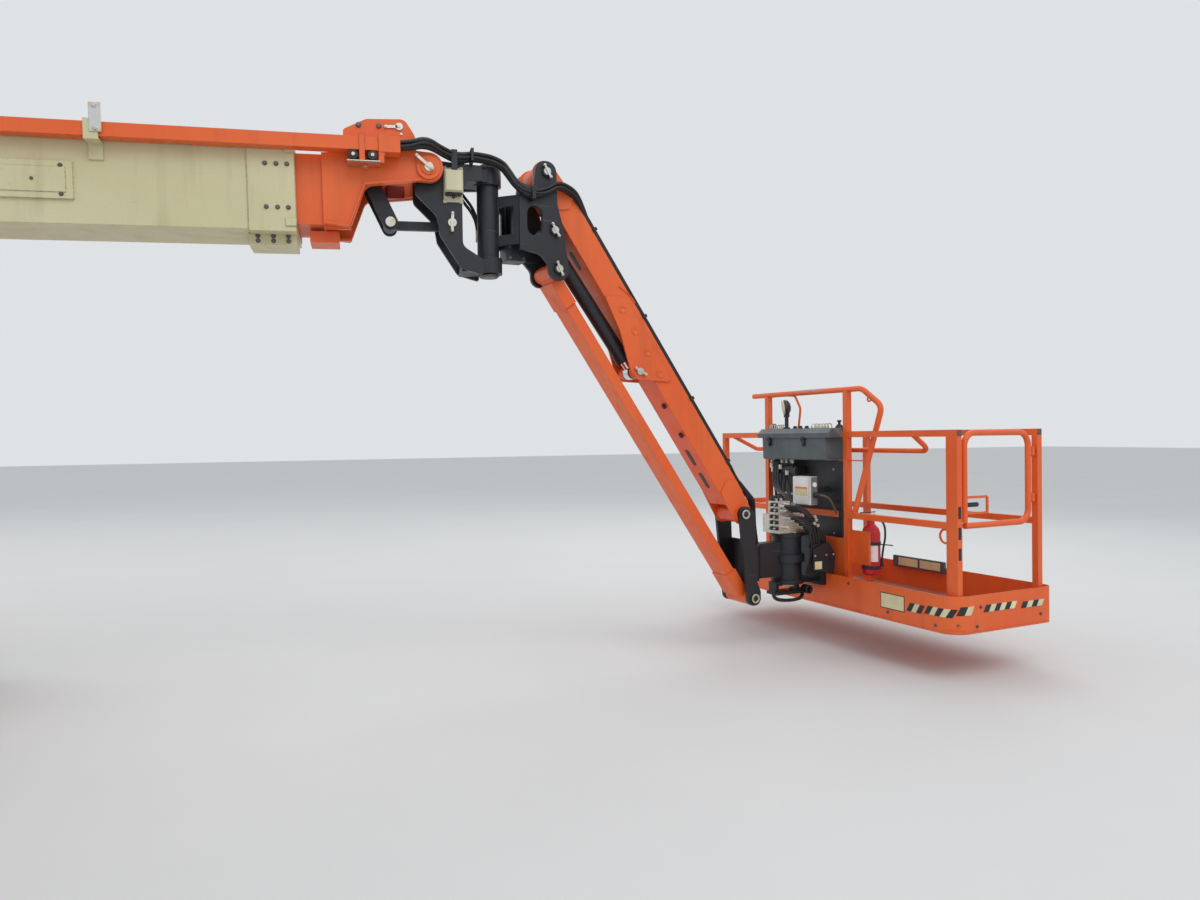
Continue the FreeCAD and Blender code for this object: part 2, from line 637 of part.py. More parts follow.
def make_hood(name, side):
    """A thin rounded cover over one side of the deck, open below and towards the middle."""
    low = s.deck_low + s.deck_wall + s.section_gap
    outer_y = s.deck_half
    sign = 1 if side > 0 else -1
    outline = ((sign * HOOD_INNER, low), (sign * outer_y, low), (sign * outer_y, s.hood_top, s.hood_round), (sign * HOOD_INNER, s.hood_top))
    wall = s.hood_wall
    inside = ((sign * (HOOD_INNER - 20), low - 20), (sign * (outer_y - wall), low - 20),
              (sign * (outer_y - wall), s.hood_top - wall, s.hood_round - wall), (sign * (HOOD_INNER - 20), s.hood_top - wall))
    start = -s.deck_rear + 25
    length = s.deck_rear + s.deck_front - 50
    shell = plate(outline, start, length, "yz")
    hollow = plate(inside, start + wall, length - 2 * wall, "yz")
    louvres = []
    for i in range(14):
        x = start + 330 + i * 62
        louvres.append(slab(15, 40, 190, (x, sign * (outer_y - 3), low + 520)))
    gaps = []
    sleeves = []
    bores = []
    for x in HOOD_HINGES:
        gaps.append(slab(HINGE_HALF + 1, HINGE_OUTER + 6, HINGE_OUTER + 6, (x, sign * HOOD_INNER, "hood_top")))
        for hand in (-1, 1):
            middle = x + hand * (HINGE_HALF + HINGE_REACH) / 2
            half = (HINGE_REACH - HINGE_HALF) / 2 - 2
            sleeves.append(rod(HINGE_OUTER, 2 * half, (middle - half, sign * HOOD_INNER, "hood_top"), "x"))
        bores.append(rod(HINGE_PIN + s.pin_gap, 2 * HINGE_REACH + 10, (x - HINGE_REACH - 5, sign * HOOD_INNER, "hood_top"), "x"))
    node("hood_" + name, [cut(shell, [hollow] + louvres + gaps)] + sleeves, GROUND, bores)


make_hood("left", 1)
make_hood("right", -1)
DECK_TOP = s.deck_low + s.deck_wall
node("engine_block", [slab(480, 270, 350, (-1500, 740, DECK_TOP + 350 + s.section_gap))], GROUND)
node("ground_controls", [slab(110, 180, 230, (s.deck_front - 25 + s.section_gap + 112, -900, DECK_TOP + 520)),
                         slab(125, 200, 8, (s.deck_front - 25 + s.section_gap + 128, -900, DECK_TOP + 750))], GROUND)


# Telescopic sections: each is a rectangular tube that slides in the one outside it

def section_tube(start, end, step, half, depth, z=0):
    """A tube from start to end; step counts how many sections it is inside the base."""
    half_y = half - step * s.section_step
    half_z = depth / 2 - step * s.section_step
    length = end - start
    outer = slab(length / 2, half_y, half_z, ((start + end) / 2, 0, z))
    wall = s.section_wall
    inner = slab(length / 2 + 5, half_y - wall, half_z - wall, ((start + end) / 2, 0, z))
    return cut(outer, [inner])


def slide_pads(end, step, half, depth, z=0):
    """Wear pads inside the mouth of a section, under and over the next one."""
    outer_z = depth / 2 - step * s.section_step - s.section_wall
    inner_z = depth / 2 - (step + 1) * s.section_step
    thick = outer_z - inner_z - s.section_gap + 2
    pads = []
    for sign in (-1, 1):
        level = z + sign * (inner_z + s.section_gap + thick / 2)
        pads.append(slab(70, half - 80, thick / 2, (end - 75, 0, level)))
    return pads


# Tower, in a frame that looks back from its pivot

def make_tower():
    half, depth = s.tower_half, s.tower_depth
    end = s.tower_base_end
    lobe = s.big_lobe
    pivot_plates = pair(((-lobe, -lobe, lobe - 5), (260, -depth / 2, 60), (700, -depth / 2 + 2), (700, depth / 2 - 2),
                         (260, depth / 2, 60), (-lobe, lobe, lobe - 5)), half - 2, 22)
    boss = pin(95, half + 20, 0, 0)
    cheek_end = slab(10, half - 4, depth / 2 - 4, (165, 0, 0))
    eye_z = -s.tower_eye_drop
    ears = pair(((s.tower_eye_x - 220, -depth / 2 + 5), (s.tower_eye_x - 75, eye_z - 75, 70), (s.tower_eye_x + 75, eye_z - 75, 70),
                 (s.tower_eye_x + 220, -depth / 2 + 5)), 104, 25)
    stubs = [rod(62, 52, (s.tower_eye_x, sign * 81 - 26, eye_z)) for sign in (-1, 1)]
    collar = []
    collar_plate = slab(40, half + 14, depth / 2 + 14, (end - 40, 0, 0))
    collar_hole = slab(60, half - 2, depth / 2 - 2, (end - 40, 0, 0))
    collar.append(cut(collar_plate, [collar_hole]))
    tube = section_tube(155, end, 0, half, depth)
    bore = pin("big_pin + pin_gap", half + 40, 0, 0)
    node("tower_base", [tube, boss, cheek_end] + pivot_plates + ears + stubs + collar + slide_pads(end, 0, half, depth), TOWER, [bore])
    mid_end = end + 10
    mid = section_tube(620, mid_end, 1, half, depth)
    node("tower_mid", [mid] + slide_pads(mid_end, 1, half, depth), TOWER)
    fly_end = s.tower_length - 250
    fly = section_tube(820, fly_end, 2, half, depth)
    inner = half - 2 * s.section_step
    head = pair(((mid_end + 90, -depth / 2 + 45), (s.tower_length, -110, 0), (s.tower_length + 108, -108, 104),
                 (s.tower_length + 108, 108, 104), (s.tower_length, 110, 0), (mid_end + 90, depth / 2 - 45)), inner - 2, half - inner + 10)
    head_boss = pin(90, half + 15, s.tower_length, 0)
    end_wall = slab(8, inner - 2, depth / 2 - 45, (fly_end - 8, 0, 0))
    head_bore = pin("big_pin + pin_gap", half + 40, s.tower_length, 0)
    node("tower_fly", [fly, head_boss, end_wall] + head, TOWER, [head_bore])


make_tower()


def make_cylinder(name, frame, length, barrel_radius, rod_radius, stroke, eye_half, pin_radius):
    """A hydraulic cylinder: the barrel turns on its pin, the rod slides out of it."""
    eye = barrel_radius * 0.95
    barrel_end = length - eye - 45
    hollow_start = eye + 30
    barrel_eye = pin(eye, eye_half, 0, 0)
    base = eye + 8
    neck = slab(base / 2 + 2, eye_half - 4, eye * 0.7, (base / 2 + 2, 0, 0))
    barrel = rod(barrel_radius, barrel_end - base, (base, 0, 0), "x")
    gland = rod(barrel_radius * 1.12, 60, (barrel_end - 60, 0, 0), "x")
    tank = rod(rod_radius + 0.5, barrel_end, (hollow_start, 0, 0), "x")
    hole = pin(pin_radius + s.pin_gap, eye_half + 10, 0, 0)
    node(name + "_barrel", [barrel_eye, neck, barrel, gland], frame, [tank, hole])
    start = max(hollow_start + 5, length - eye - stroke - 160)
    shaft = rod(rod_radius, length - start - eye * 0.5, (start, 0, 0), "x")
    rod_eye = pin(eye, eye_half - 10, length, 0)
    node(name + "_rod", [shaft, rod_eye], frame)


def stroke_between(start, end, pivot, turn):
    """How far a cylinder opens as its rod's pin turns about a pivot."""
    arm = V(*end) - V(*pivot)
    turned = FreeCAD.Rotation(V(0, 1, 0), -turn).multVec(arm) + V(*pivot)
    closed = (V(*end) - V(*start)).Length
    return (turned - V(*start)).Length - closed


TOWER_ANCHOR = (s.tower_anchor_x, 0, s.tower_anchor_z)
TOWER_EYE = (s.tower_pivot_x - s.tower_eye_x, 0, s.tower_pivot_z - s.tower_eye_drop)
tower_cyl, tower_cyl_length = cylinder_frame(GROUND, TOWER_ANCHOR, TOWER_EYE)
TOWER_PIVOT = (s.tower_pivot_x, 0, s.tower_pivot_z)
make_cylinder("tower_lift", tower_cyl, tower_cyl_length, 88, 47, stroke_between(TOWER_ANCHOR, TOWER_EYE, TOWER_PIVOT, -72), 60, 40)


# Rear upright, which stays plumb at the tower's head and carries the upper boom

BOOM_RISE = s.boom_pivot_z - s.tower_pivot_z


def make_rear_upright():
    lobe = s.big_lobe
    anchor_x, anchor_z = s.lift_anchor_x, BOOM_RISE - s.lift_anchor_drop
    inner = s.tower_half + 25
    side_view = (
        (-lobe, -lobe, lobe - 5), (lobe, -lobe, lobe - 5), (anchor_x + 85, anchor_z - 80, 80), (anchor_x + 85, anchor_z + 80, 80),
        (lobe, BOOM_RISE + lobe, lobe - 5), (-lobe, BOOM_RISE + lobe, lobe - 5))
    plates = pair(side_view, inner, 28)
    pins = [pin("big_pin", inner + 45, 0, 0), pin("big_pin", inner + 45, 0, BOOM_RISE),
            pin(40, inner + 20, "lift_anchor_x", anchor_z)]
    web = slab(10, inner + 5, 105, (-lobe + 12, 0, anchor_z - 75))
    spacers = []
    for sign in (-1, 1):
        spacers.append(rod(60, inner - 68, ("lift_anchor_x", 66 if sign > 0 else -inner - 2, anchor_z)))
    node("rear_upright", plates + pins + [web] + spacers, UPRIGHT)


make_rear_upright()


# Upper boom, in a frame that looks forward from its rear pivot

NOSE_V = s.nose_rise


def make_boom():
    half, depth = s.boom_half, s.boom_depth
    end = s.boom_base_end
    lobe = s.big_lobe
    tail = pair(((-lobe + 5, -lobe + 5, lobe - 8), (200, -depth / 2 + 2, 40), (620, -depth / 2 + 2), (620, depth / 2 - 2),
                 (200, depth / 2 - 2, 40), (-lobe + 5, lobe - 5, lobe - 8)), half - 20, 24)
    boss = pin(92, half + 2, 0, 0)
    end_wall = slab(8, half - 4, depth / 2 - 4, (150, 0, 0))
    eye_z = -s.lift_eye_drop
    ears = pair(((s.lift_eye_x - 230, -depth / 2 + 5), (s.lift_eye_x - 70, eye_z - 65, 60), (s.lift_eye_x + 70, eye_z - 65, 60),
                 (s.lift_eye_x + 230, -depth / 2 + 5)), 96, 25)
    stubs = [rod(55, 45, (s.lift_eye_x, sign * 77.5 - 22.5, eye_z)) for sign in (-1, 1)]
    collar = cut(slab(115, half + 10, depth / 2 + 10, (end - 115, 0, 0)), [slab(140, half - 2, depth / 2 - 2, (end - 115, 0, 0))])
    pad_bracket = slab(120, 120, 28, (end - 125, 0, -depth / 2 - 34))
    cover = slab(330, 8, 92, (end - 3190 + 1830, -half - 6, -15))
    guide = []
    guide_u = s.boom_reach - 1615
    guide.append(slab(33, 6, 60, (guide_u, -half - 4, 150)))
    guide.append(slab(33, 40, 5, (guide_u, -half - 45, s.rail_low - 12)))
    guide.append(slab(33, 4, 50, (guide_u, -half - 88, 215)))
    guide.append(slab(33, 45, 4, (guide_u, -half - 47, 262)))
    tube = section_tube(145, end, 0, half, depth)
    bore = pin("big_pin + pin_gap", half + 40, 0, 0)
    node("boom_base", [tube, boss, end_wall, collar, pad_bracket, cover] + tail + ears + stubs + guide
         + slide_pads(end, 0, half, depth), BOOM, [bore])
    mid = section_tube(640, end + 2, 1, half, depth)
    node("boom_mid", [mid] + slide_pads(end + 2, 1, half, depth), BOOM)
    make_fly(half, depth)


NOSE_SLOT = 130


def make_fly(half, depth):
    """The inner section with its nose plates, which end in the nose pin's lobe."""
    nose_u, nose_v = s.boom_reach, NOSE_V
    seam = nose_u - 545
    inner = half - 2 * s.section_step
    tube = section_tube(840, seam + 20, 2, half, depth)
    side_view = (
        (seam - 10, nose_v - 322), (nose_u - 418, nose_v - 335, 30), (nose_u - 330, nose_v - 108, 60), (nose_u - 60, nose_v - 72, 40),
        (nose_u + 78, nose_v - 78, 74), (nose_u + 78, nose_v + 78, 74), (nose_u - 142, nose_v + 95, 30), (seam - 10, nose_v + 55))
    plates = pair(side_view, inner - 12, 34)
    slot = NOSE_SLOT
    lower = cut(slab(70, inner, 8, (seam + 60, 0, nose_v - 330)), [slab(75, slot, 20, (seam + 75, 0, nose_v - 330))])
    seam_wall = cut(slab(8, inner - 4, depth / 2 - 50, (seam + 10, 0, 0)), [slab(20, slot, depth / 2 - 60, (seam + 10, 0, -30))])
    top = slab(190, inner, 8, (seam + 180, 0, nose_v + 55))
    nose_pin = pin("swing_pin", inner + 45, nose_u, nose_v)
    edge = ((seam + 5, nose_v - 323), (nose_u - 424, nose_v - 335), (nose_u - 334, nose_v - 110), (nose_u - 40, nose_v - 76))
    band = edge + tuple((x - 4, z + 11) for x, z in reversed(edge))
    lips = pair(band, inner + 20, 26)
    lips += [rod(64, 16, (nose_u, side * (inner + 29) - 8, nose_v)) for side in (-1, 1)]
    lever_pin = pin(28, inner + 30, nose_u - s.link_length, nose_v)
    box_under = slab(75, 90, 30, (seam - 10, 0, nose_v - 322 - 45))
    hump_view = (
        (nose_u - 440, nose_v + 60, 10), (nose_u - 60, nose_v + 60, 10), (nose_u - 68, nose_v + 165, 40), (nose_u - 120, nose_v + 250, 45),
        (nose_u - 320, nose_v + 240, 40), (nose_u - 440, nose_v + 180, 20))
    hump = plate(hump_view, -inner - 34, 14)
    bridge = slab(120, (s.rail_offset - inner + 20) / 2, 5, (nose_u - 250, -(inner + s.rail_offset + 20) / 2 + 5, s.rail_low + s.rail_side + 5))
    rail_end = nose_u - 150
    rail_y = -s.rail_offset - s.rail_side / 2
    rail_z = s.rail_low + s.rail_side / 2
    rail_half = s.rail_side / 2
    sleeve = cut(slab(55, rail_half + 9, rail_half + 9, (rail_end - 56, rail_y, rail_z)),
                 [slab(60, rail_half + s.pin_gap, rail_half + s.pin_gap, (rail_end - 56, rail_y, rail_z))])
    node("boom_fly", [tube, lower, seam_wall, top, nose_pin, lever_pin, box_under, hump, bridge, sleeve] + lips + plates, BOOM)
    rail = box((rail_end - s.rail_length, "-rail_offset - rail_side", "rail_low"), ("rail_length", "rail_side", "rail_side"))
    hollow = box((rail_end - s.rail_length - 5, "-rail_offset - rail_side + 6", "rail_low + 6"),
                 ("rail_length + 10", "rail_side - 12", "rail_side - 12"))
    node("hose_rail", [cut(rail, [hollow])], BOOM)


make_boom()
LIFT_ANCHOR = (s.lift_anchor_x, 0, BOOM_RISE - s.lift_anchor_drop)
lift_eye_world = BOOM.multVec(V(s.lift_eye_x, 0, -s.lift_eye_drop)) - UPRIGHT.Base
LIFT_EYE = (lift_eye_world.x, 0, lift_eye_world.z)
lift_cyl, lift_cyl_length = cylinder_frame(UPRIGHT, LIFT_ANCHOR, LIFT_EYE)
make_cylinder("boom_lift", lift_cyl, lift_cyl_length, 80, 45, stroke_between(LIFT_ANCHOR, LIFT_EYE, (0, 0, BOOM_RISE), 75), 60, 40)


# Nose linkage: lever and link keep the nose upright plumb

FLY_INNER = s.boom_half - 2 * s.section_step - 12


def make_nose():
    arm_x, arm_z = s.link_pin_x, -s.link_pin_drop
    lever = pair(link_outline(0, 0, arm_x, arm_z, 42), 62, 22)
    hub = pin(45, 84, 0, 0)
    bore = pin(28 + s.pin_gap, 120, 0, 0)
    link_pin_shaft = pin(18, 96, arm_x, arm_z)
    lever_frame = BOOM * FreeCAD.Placement(V(s.boom_reach - s.link_length, 0, NOSE_V), BOOM.Rotation.inverted())
    node("level_lever", lever + [hub, link_pin_shaft], lever_frame, [bore])
    link_frame = lever_frame * FreeCAD.Placement(V(arm_x, 0, arm_z), BOOM.Rotation)
    bar = slab(s.link_length / 2, 16, 24, (s.link_length / 2, 0, 0))
    ends = [pin(36, 50, 0, 0), pin(36, 30, s.link_length, 0)]
    link_bore = pin(18 + s.pin_gap, 70, 0, 0)
    far_bore = pin(18 + s.pin_gap, 70, s.link_length, 0)
    node("level_link", [bar] + ends, link_frame, [link_bore, far_bore])
    side_view = (
        (-70, 72, 66), (150, 55, 20), (300, 50, 10), (300, -34, 10), (215, -40, 30), (187, -70, 20), (187, -400, 50),
        (300, -470, 10), (300, -558, 10), (178, -525, 40), (62, -345, 40), (45, -238, 60), (-70, -125, 45))
    plates = pair(side_view, 92, 26)
    hub_n = pin(68, FLY_INNER - 2, 0, 0)
    hub_bore = pin("swing_pin + pin_gap", 200, 0, 0)
    u_pin = pin(18, 112, arm_x, arm_z)
    top_boss = rod(78, 92, ("swing_x", 0, -36), "z")
    low_boss = rod(78, 90, ("swing_x", 0, -535), "z")
    top_block = slab(75, 92, 36, (258, 0, 4))
    low_block = slab(75, 92, 36, (258, 0, -500))
    swing_shaft = rod("swing_pin", 620, ("swing_x", 0, -540), "z")
    junction_box = slab(50, 28, 62, (137, -118 - s.pin_gap - 28, -58))
    node("nose_upright", plates + [hub_n, u_pin, top_boss, low_boss, top_block, low_block, swing_shaft],
         NOSE, [hub_bore])
    node("junction_box", [junction_box], NOSE)


make_nose()


# Swing bracket: a boss on the vertical pin, two flared panels and the lobes of the three jib pins

def make_swing_bracket():
    inner = s.jib_plate - 25
    a_x, a_z = s.jib_top_x, s.jib_top_z
    b_x, b_z = s.jib_top_x + s.jib_low_x, s.jib_top_z - s.jib_low_drop
    c_x, c_z = s.jib_top_x + s.jib_cyl_x, s.jib_top_z - s.jib_cyl_drop
    side_view = (
        (a_x - 60, a_z + 62, 58), (a_x + 60, a_z + 62, 58), (a_x + 66, a_z - 178, 80), (a_x + 98, a_z - 303, 80),
        (b_x + 64, b_z + 20, 40), (b_x + 64, b_z - 66, 60), (b_x - 58, b_z - 66, 56), (b_x - 62, b_z + 24, 40),
        (a_x - 43, a_z - 470, 60), (137, a_z - 450), (137, a_z - 137), (a_x - 80, a_z - 93, 40))
    plates = pair(side_view, inner, 25, (), ((a_x - 75, a_z - 284, 47, 84),))
    flares = []
    for sign in (-1, 1):
        plan = ((30, sign * 30), (145, sign * (s.jib_plate - 2)), (145, sign * (inner - 4)), (48, sign * 14))
        flare = plate(plan, a_z - 421, 277, "xy")
        window = slab(31, 200, 80, (82, 0, a_z - 284))
        flares.append(cut(flare, [window]))
    boss = rod(62, 408.4, (0, 0, -444.7), "z")
    bore = rod("swing_pin + pin_gap", 500, (0, 0, -450), "z")
    web = slab(9, inner + 5, 130, (165, 0, a_z - 284))
    pins = [pin("jib_pin", s.jib_plate + 12, x, z) for x, z in ((a_x, a_z), (b_x, b_z), (c_x, c_z))]
    drive = slab(58, 60, 48, (150, 0, a_z - 455))
    node("swing_bracket", plates + flares + [boss, web, drive] + pins, JIB, [bore])


make_swing_bracket()


# Jib arms

def make_upper_arm():
    half = s.jib_half
    length = s.jib_length
    tube = cut(slab((length - 220) / 2, half, 75.5, (length / 2, 0, 20.5)),
               [slab((length - 250) / 2, half - 8, 67.5, (length / 2, 0, 20.5))])
    ends = []
    for x, way in ((0, 1), (length, -1)):
        view = ((x - way * 70, -72, 68), (x + way * 205, -52, 20), (x + way * 245, 30, 20), (x + way * 205, 92, 30), (x - way * 70, 72, 68))
        ends += pair(view, half - 2, 12)
        ends.append(pin(58, s.jib_plate - 25 - s.side_gap, x, 0))
    gusset_view = (
        (779, -50, 8), (860, 60, 25), (1440, 52, 8), (1436, 18, 6), (1312, -150, 30), (1238, -160, 30), (1000, -88, 300), (800, -60, 20))
    gussets = pair(gusset_view, half - 1, 13)
    stubs = [rod(42, half - 46, ("jib_rod_x", 48 if sign > 0 else -half - 2, "-jib_rod_drop")) for sign in (-1, 1)]
    bores = [pin("jib_pin + pin_gap", 200, x, 0) for x in (0, length)]
    node("jib_upper_arm", [tube] + ends + gussets + stubs, UPPER_ARM, bores)


def make_lower_arm():
    length = s.jib_length
    tube = cut(slab((length - 200) / 2, 80, 32.5, (length / 2, 0, -22.5)),
               [slab((length - 230) / 2, 74, 26.5, (length / 2, 0, -22.5))])
    ends = []
    for x, way in ((0, 1), (length, -1)):
        ends.append(slab(85, 88, 39, (x + way * 135, 0, -21)))
        ends.append(pin(48, 115, x, 0))
        ends.append(slab(40, 88, 26, (x + way * 40, 0, -14)))
    bores = [pin("jib_pin + pin_gap", 200, x, 0) for x in (0, length)]
    node("jib_lower_arm", [tube] + ends, LOWER_ARM, bores)


make_upper_arm()
make_lower_arm()
JIB_CYL_START = (s.jib_top_x + s.jib_cyl_x, 0, s.jib_top_z - s.jib_cyl_drop)
jib_eye = ARM_TURN.multVec(V(s.jib_rod_x, 0, -s.jib_rod_drop)) + V(s.jib_top_x, 0, s.jib_top_z)
JIB_CYL_END = (jib_eye.x, 0, jib_eye.z)
jib_cyl, jib_cyl_length = cylinder_frame(JIB, JIB_CYL_START, JIB_CYL_END)
JIB_PIVOT = (s.jib_top_x, 0, s.jib_top_z)
make_cylinder("jib_lift", jib_cyl, jib_cyl_length, 46, 28, stroke_between(JIB_CYL_START, JIB_CYL_END, JIB_PIVOT, 131), 42, 30)


# Jib-end bracket with the rotary actuator

def make_jib_end():
    low_x, low_z = s.jib_low_x, -s.jib_low_drop
    side_view = (
        (-50, 46, 44), (30, 46, 30), (78, 0, 20), (90, -440, 30), (low_x + 50, low_z + 40, 30), (low_x + 50, low_z - 48, 46),
        (low_x - 48, low_z - 48, 46), (-32, -60, 30))
    inner = s.jib_plate - 27
    plates = pair(side_view, inner, 25)
    pins = [pin("jib_pin", s.jib_plate + 8, 0, 0), pin("jib_pin", s.jib_plate + 8, low_x, low_z)]
    arm_z = -330
    plan = ((74, -inner - 5), (120, -inner - 5, 20), (185, -45, 20), (375, -45), (375, 45), (185, 45, 20), (120, inner + 5, 20),
            (74, inner + 5))
    box_arm = plate(plan, arm_z - 115, 230, "xy")
    body = rod(98, 290, ("rotator_x", 0, -470), "z")
    collar = rod(118, 50, ("rotator_x", 0, -350), "z")
    web = slab(8, inner + 5, 150, (82, 0, arm_z))
    leads = []
    for i in (-1, 0, 1):
        y = -64 + 23 * i
        leads.append(hose(((0, y, 205), (112, y, 84), (150, y / 2, -90), (178, y / 3, arm_z + 110)), 11, 60))
    node("jib_end_bracket", plates + pins + [box_arm, body, collar, web] + leads, JIB_END)


make_jib_end()


# Platform support, floor, rails, gate and controls

def make_platform():
    floor_z = 48
    top_flange = rod(110, 28, (0, 0, -179.7), "z")
    low_flange = rod(110, 28, (0, 0, -498.3), "z")
    back = s.post_x - s.rotator_x - s.skirt_back
    spine = slab(20, 130, 175, (back - 21, 0, -340))
    upper_arm = slab(back / 2 - 10, 60, 13, (back / 2, 0, -165))
    lower_arm = slab(back / 2 - 10, 60, 13, (back / 2, 0, -484.5))
    foot_low = slab(150, 55, 10, (20, 0, -560))
    foot_post = [slab(12, 40, 35, (x, 0, -520)) for x in (-110, 60)]
    foot_top = slab(96, 50, 10, (-20, 0, -498))
    shield_view = ((60, -395), (232, -429), (246, -300), (188, -212), (60, -255))
    shield = plate(shield_view, -206, 6, "xz")
    shield_arm = slab(20, 40, 22, (back - 21, -165, -340))
    node("platform_support", [top_flange, low_flange, spine, upper_arm, lower_arm, foot_low, foot_top, shield, shield_arm]
         + foot_post, ROTATOR)
    manifold = slab(105, 90, 62, (-25, 0, -151.7 + 62))
    node("valve_manifold", [manifold], ROTATOR)
    outline = ((-s.skirt_back, -s.skirt_half, 120), (s.skirt_front, -s.skirt_half, 60), (s.skirt_front, s.skirt_half, 60),
               (-s.skirt_back, s.skirt_half, 120))
    wall = s.skirt_wall
    inside = [(x + (wall if x < 0 else -wall), y + (wall if y < 0 else -wall), r - wall) for x, y, r in outline]
    tray = plate(outline, 0, "skirt_height", "xy")
    above = plate(inside, floor_z, 300, "xy")
    below = plate(inside, -10, floor_z - 8 + 10, "xy")
    skirt = cut(tray, [above, below])
    joists = [slab(20, "skirt_half - 10", 18, (x, 0, 24)) for x in (60, 340, 620)]
    backing = slab(4, 400, (BACKING_TOP - floor_z + 8) / 2, (-4, 165, (BACKING_TOP + floor_z - 8) / 2))
    node("platform_floor", [skirt, backing] + joists, PLATFORM)
    make_rails(floor_z)


BACKING_TOP = 460


def square_post(x, y, top, floor_z, side=None):
    half = (side or s.tube) / 2
    foot = floor_z + s.section_gap
    return slab(half, half, (top - foot) / 2, (x, y, (top + foot) / 2))


GATE_HINGE_X = 638
GATE_HINGE_Y = -s.post_half


def make_rails(floor_z):
    t = s.tube
    depth, end = s.post_depth, s.post_half
    top = s.rail_top
    posts = [square_post(0, -end, top, floor_z), square_post(0, end, top, floor_z), square_post(depth, -end, top, floor_z),
             square_post(depth, end, top, floor_z), square_post(depth, 290, top, floor_z), square_post(0, -260, s.guard_top, floor_z),
             square_post(0, 597, s.guard_top, floor_z), square_post(0, -end + t, top - 10, floor_z)]
    rails = []
    for level in (top - t / 2, s.rail_mid):
        rails.append(slab(t / 2, end, t / 2, (0, 0, level)))
        rails.append(slab(t / 2, end + 20, t / 2, (depth, 0, level)))
        rails.append(slab(depth / 2, t / 2, t / 2, (depth / 2, end, level)))
    guard = bent_tube(((0, 780, s.guard_top + 10), (0, -400, s.guard_top + 10), (60, -520, 1340), (12, -310, 628)), 19, 70)
    hand = bent_tube(((0, 1080, top - 20), (110, 900, 1052), (110, -870, 1052), (0, -830, top - 20)), 16, 45)
    bottle_plate = box((15, -440, 300), (13, 200, 220))
    hinge_parts = []
    for level in (760, 1040):
        hinge_parts.append(box((GATE_HINGE_X - 4, GATE_HINGE_Y - 5, level - 28), (30, 10, 6)))
        hinge_parts.append(rod(8, 60, (GATE_HINGE_X, GATE_HINGE_Y, level - 28), "z"))
    lamp_hoop = bent_tube(((0, 430, s.guard_top + 2), (0, 285, s.guard_top - 6), (0, 222, 1350), (0, 246, CONSOLE_TOP + 5)), 8, 50)
    node("platform_rails", posts + rails + [guard, hand, bottle_plate, lamp_hoop] + hinge_parts, PLATFORM)
    gate = bent_tube(((60, -end, 640), (60, -end, top - 20), (600, -end, top - 20), (600, -end, 620), (60, -end, 620)), 18, 80)
    sleeves = [rod(15, 50, (GATE_HINGE_X, GATE_HINGE_Y, level - 21), "z") for level in (760, 1040)]
    tabs = [box((605, GATE_HINGE_Y - 5, level - 20), (GATE_HINGE_X - 605, 10, 46)) for level in (760, 1040)]
    gate_bores = [rod(8.3, 70, (GATE_HINGE_X, GATE_HINGE_Y, level - 30), "z") for level in (760, 1040)]
    node("platform_gate", [gate] + sleeves + tabs, PLATFORM, gate_bores)
    make_controls(top)
    extinguisher = revolved(((0, 230), (52, 230), (60, 238), (60, 505), (50, 538), (30, 560), (24, 566), (24, 600), (0, 600)),
                            "z", (28 + 60 + s.pin_gap, -380, 0))
    node("fire_extinguisher", [extinguisher], PLATFORM)


CONSOLE_TOP = 1205


def make_controls(top):
    """The control console over the top rail, the black panel below it, the lamp and the outlet box."""
    gap = s.pin_gap
    console_y, console_half = 160, 350
    seam = top - s.tube
    body_view = ((-118, 985, 12), (48, 985, 12), (52, seam + 2), (-124, seam + 2))
    body = plate(body_view, console_y - console_half, 2 * console_half, "xz")
    lid_view = ((-138, seam), (68, seam), (68, CONSOLE_TOP - 30), (52, CONSOLE_TOP), (-104, CONSOLE_TOP), (-138, CONSOLE_TOP - 34))
    lid = plate(lid_view, console_y - console_half - 38, 2 * console_half + 76, "xz")
    rail_slot = slab(s.tube / 2 + gap, console_half + 60, s.tube / 2 + gap, (0, console_y, top - s.tube / 2))
    catches = [plate(((-118, seam - 44), (-120, seam + 2), (-137, seam + 2), (-137, seam - 8)), y, 12, "xz") for y in (60, 440)]
    node("control_console", [body, lid] + catches, PLATFORM, [rail_slot])
    panel_back = s.tube / 2 + gap
    panel = slab(40, 370, (985 - gap - 430) / 2, (panel_back + 40, 190, (985 - gap + 430) / 2))
    outlet_x, outlet_y, outlet_z = -165, -21, 780
    arm_start = outlet_x + 35 + gap
    arm = box((arm_start, outlet_y - 30, outlet_z - 20), (panel_back + 2 - arm_start, 60, 40))
    node("console_pedestal", [panel, arm], PLATFORM)
    node("outlet_box", [slab(35, 85, 95.5, (outlet_x, outlet_y, outlet_z))], PLATFORM)
    stalk = rod(14, 110, (-64, 300, CONSOLE_TOP + gap), "z")
    shell = revolved(((0, -52), (34, -52), (58, -24), (62, 22), (62, 40), (0, 40)), "x", (-64, 300, CONSOLE_TOP + 155))
    node("console_lamp", [stalk, shell], PLATFORM)


make_platform()


# Hydraulic hoses, held by clips on the piece that carries them

HOSE_RADIUS = 11
HOSE_STEP = 23
BUNDLE = ((0, 0), (0, HOSE_STEP), (-HOSE_STEP, HOSE_STEP / 2))


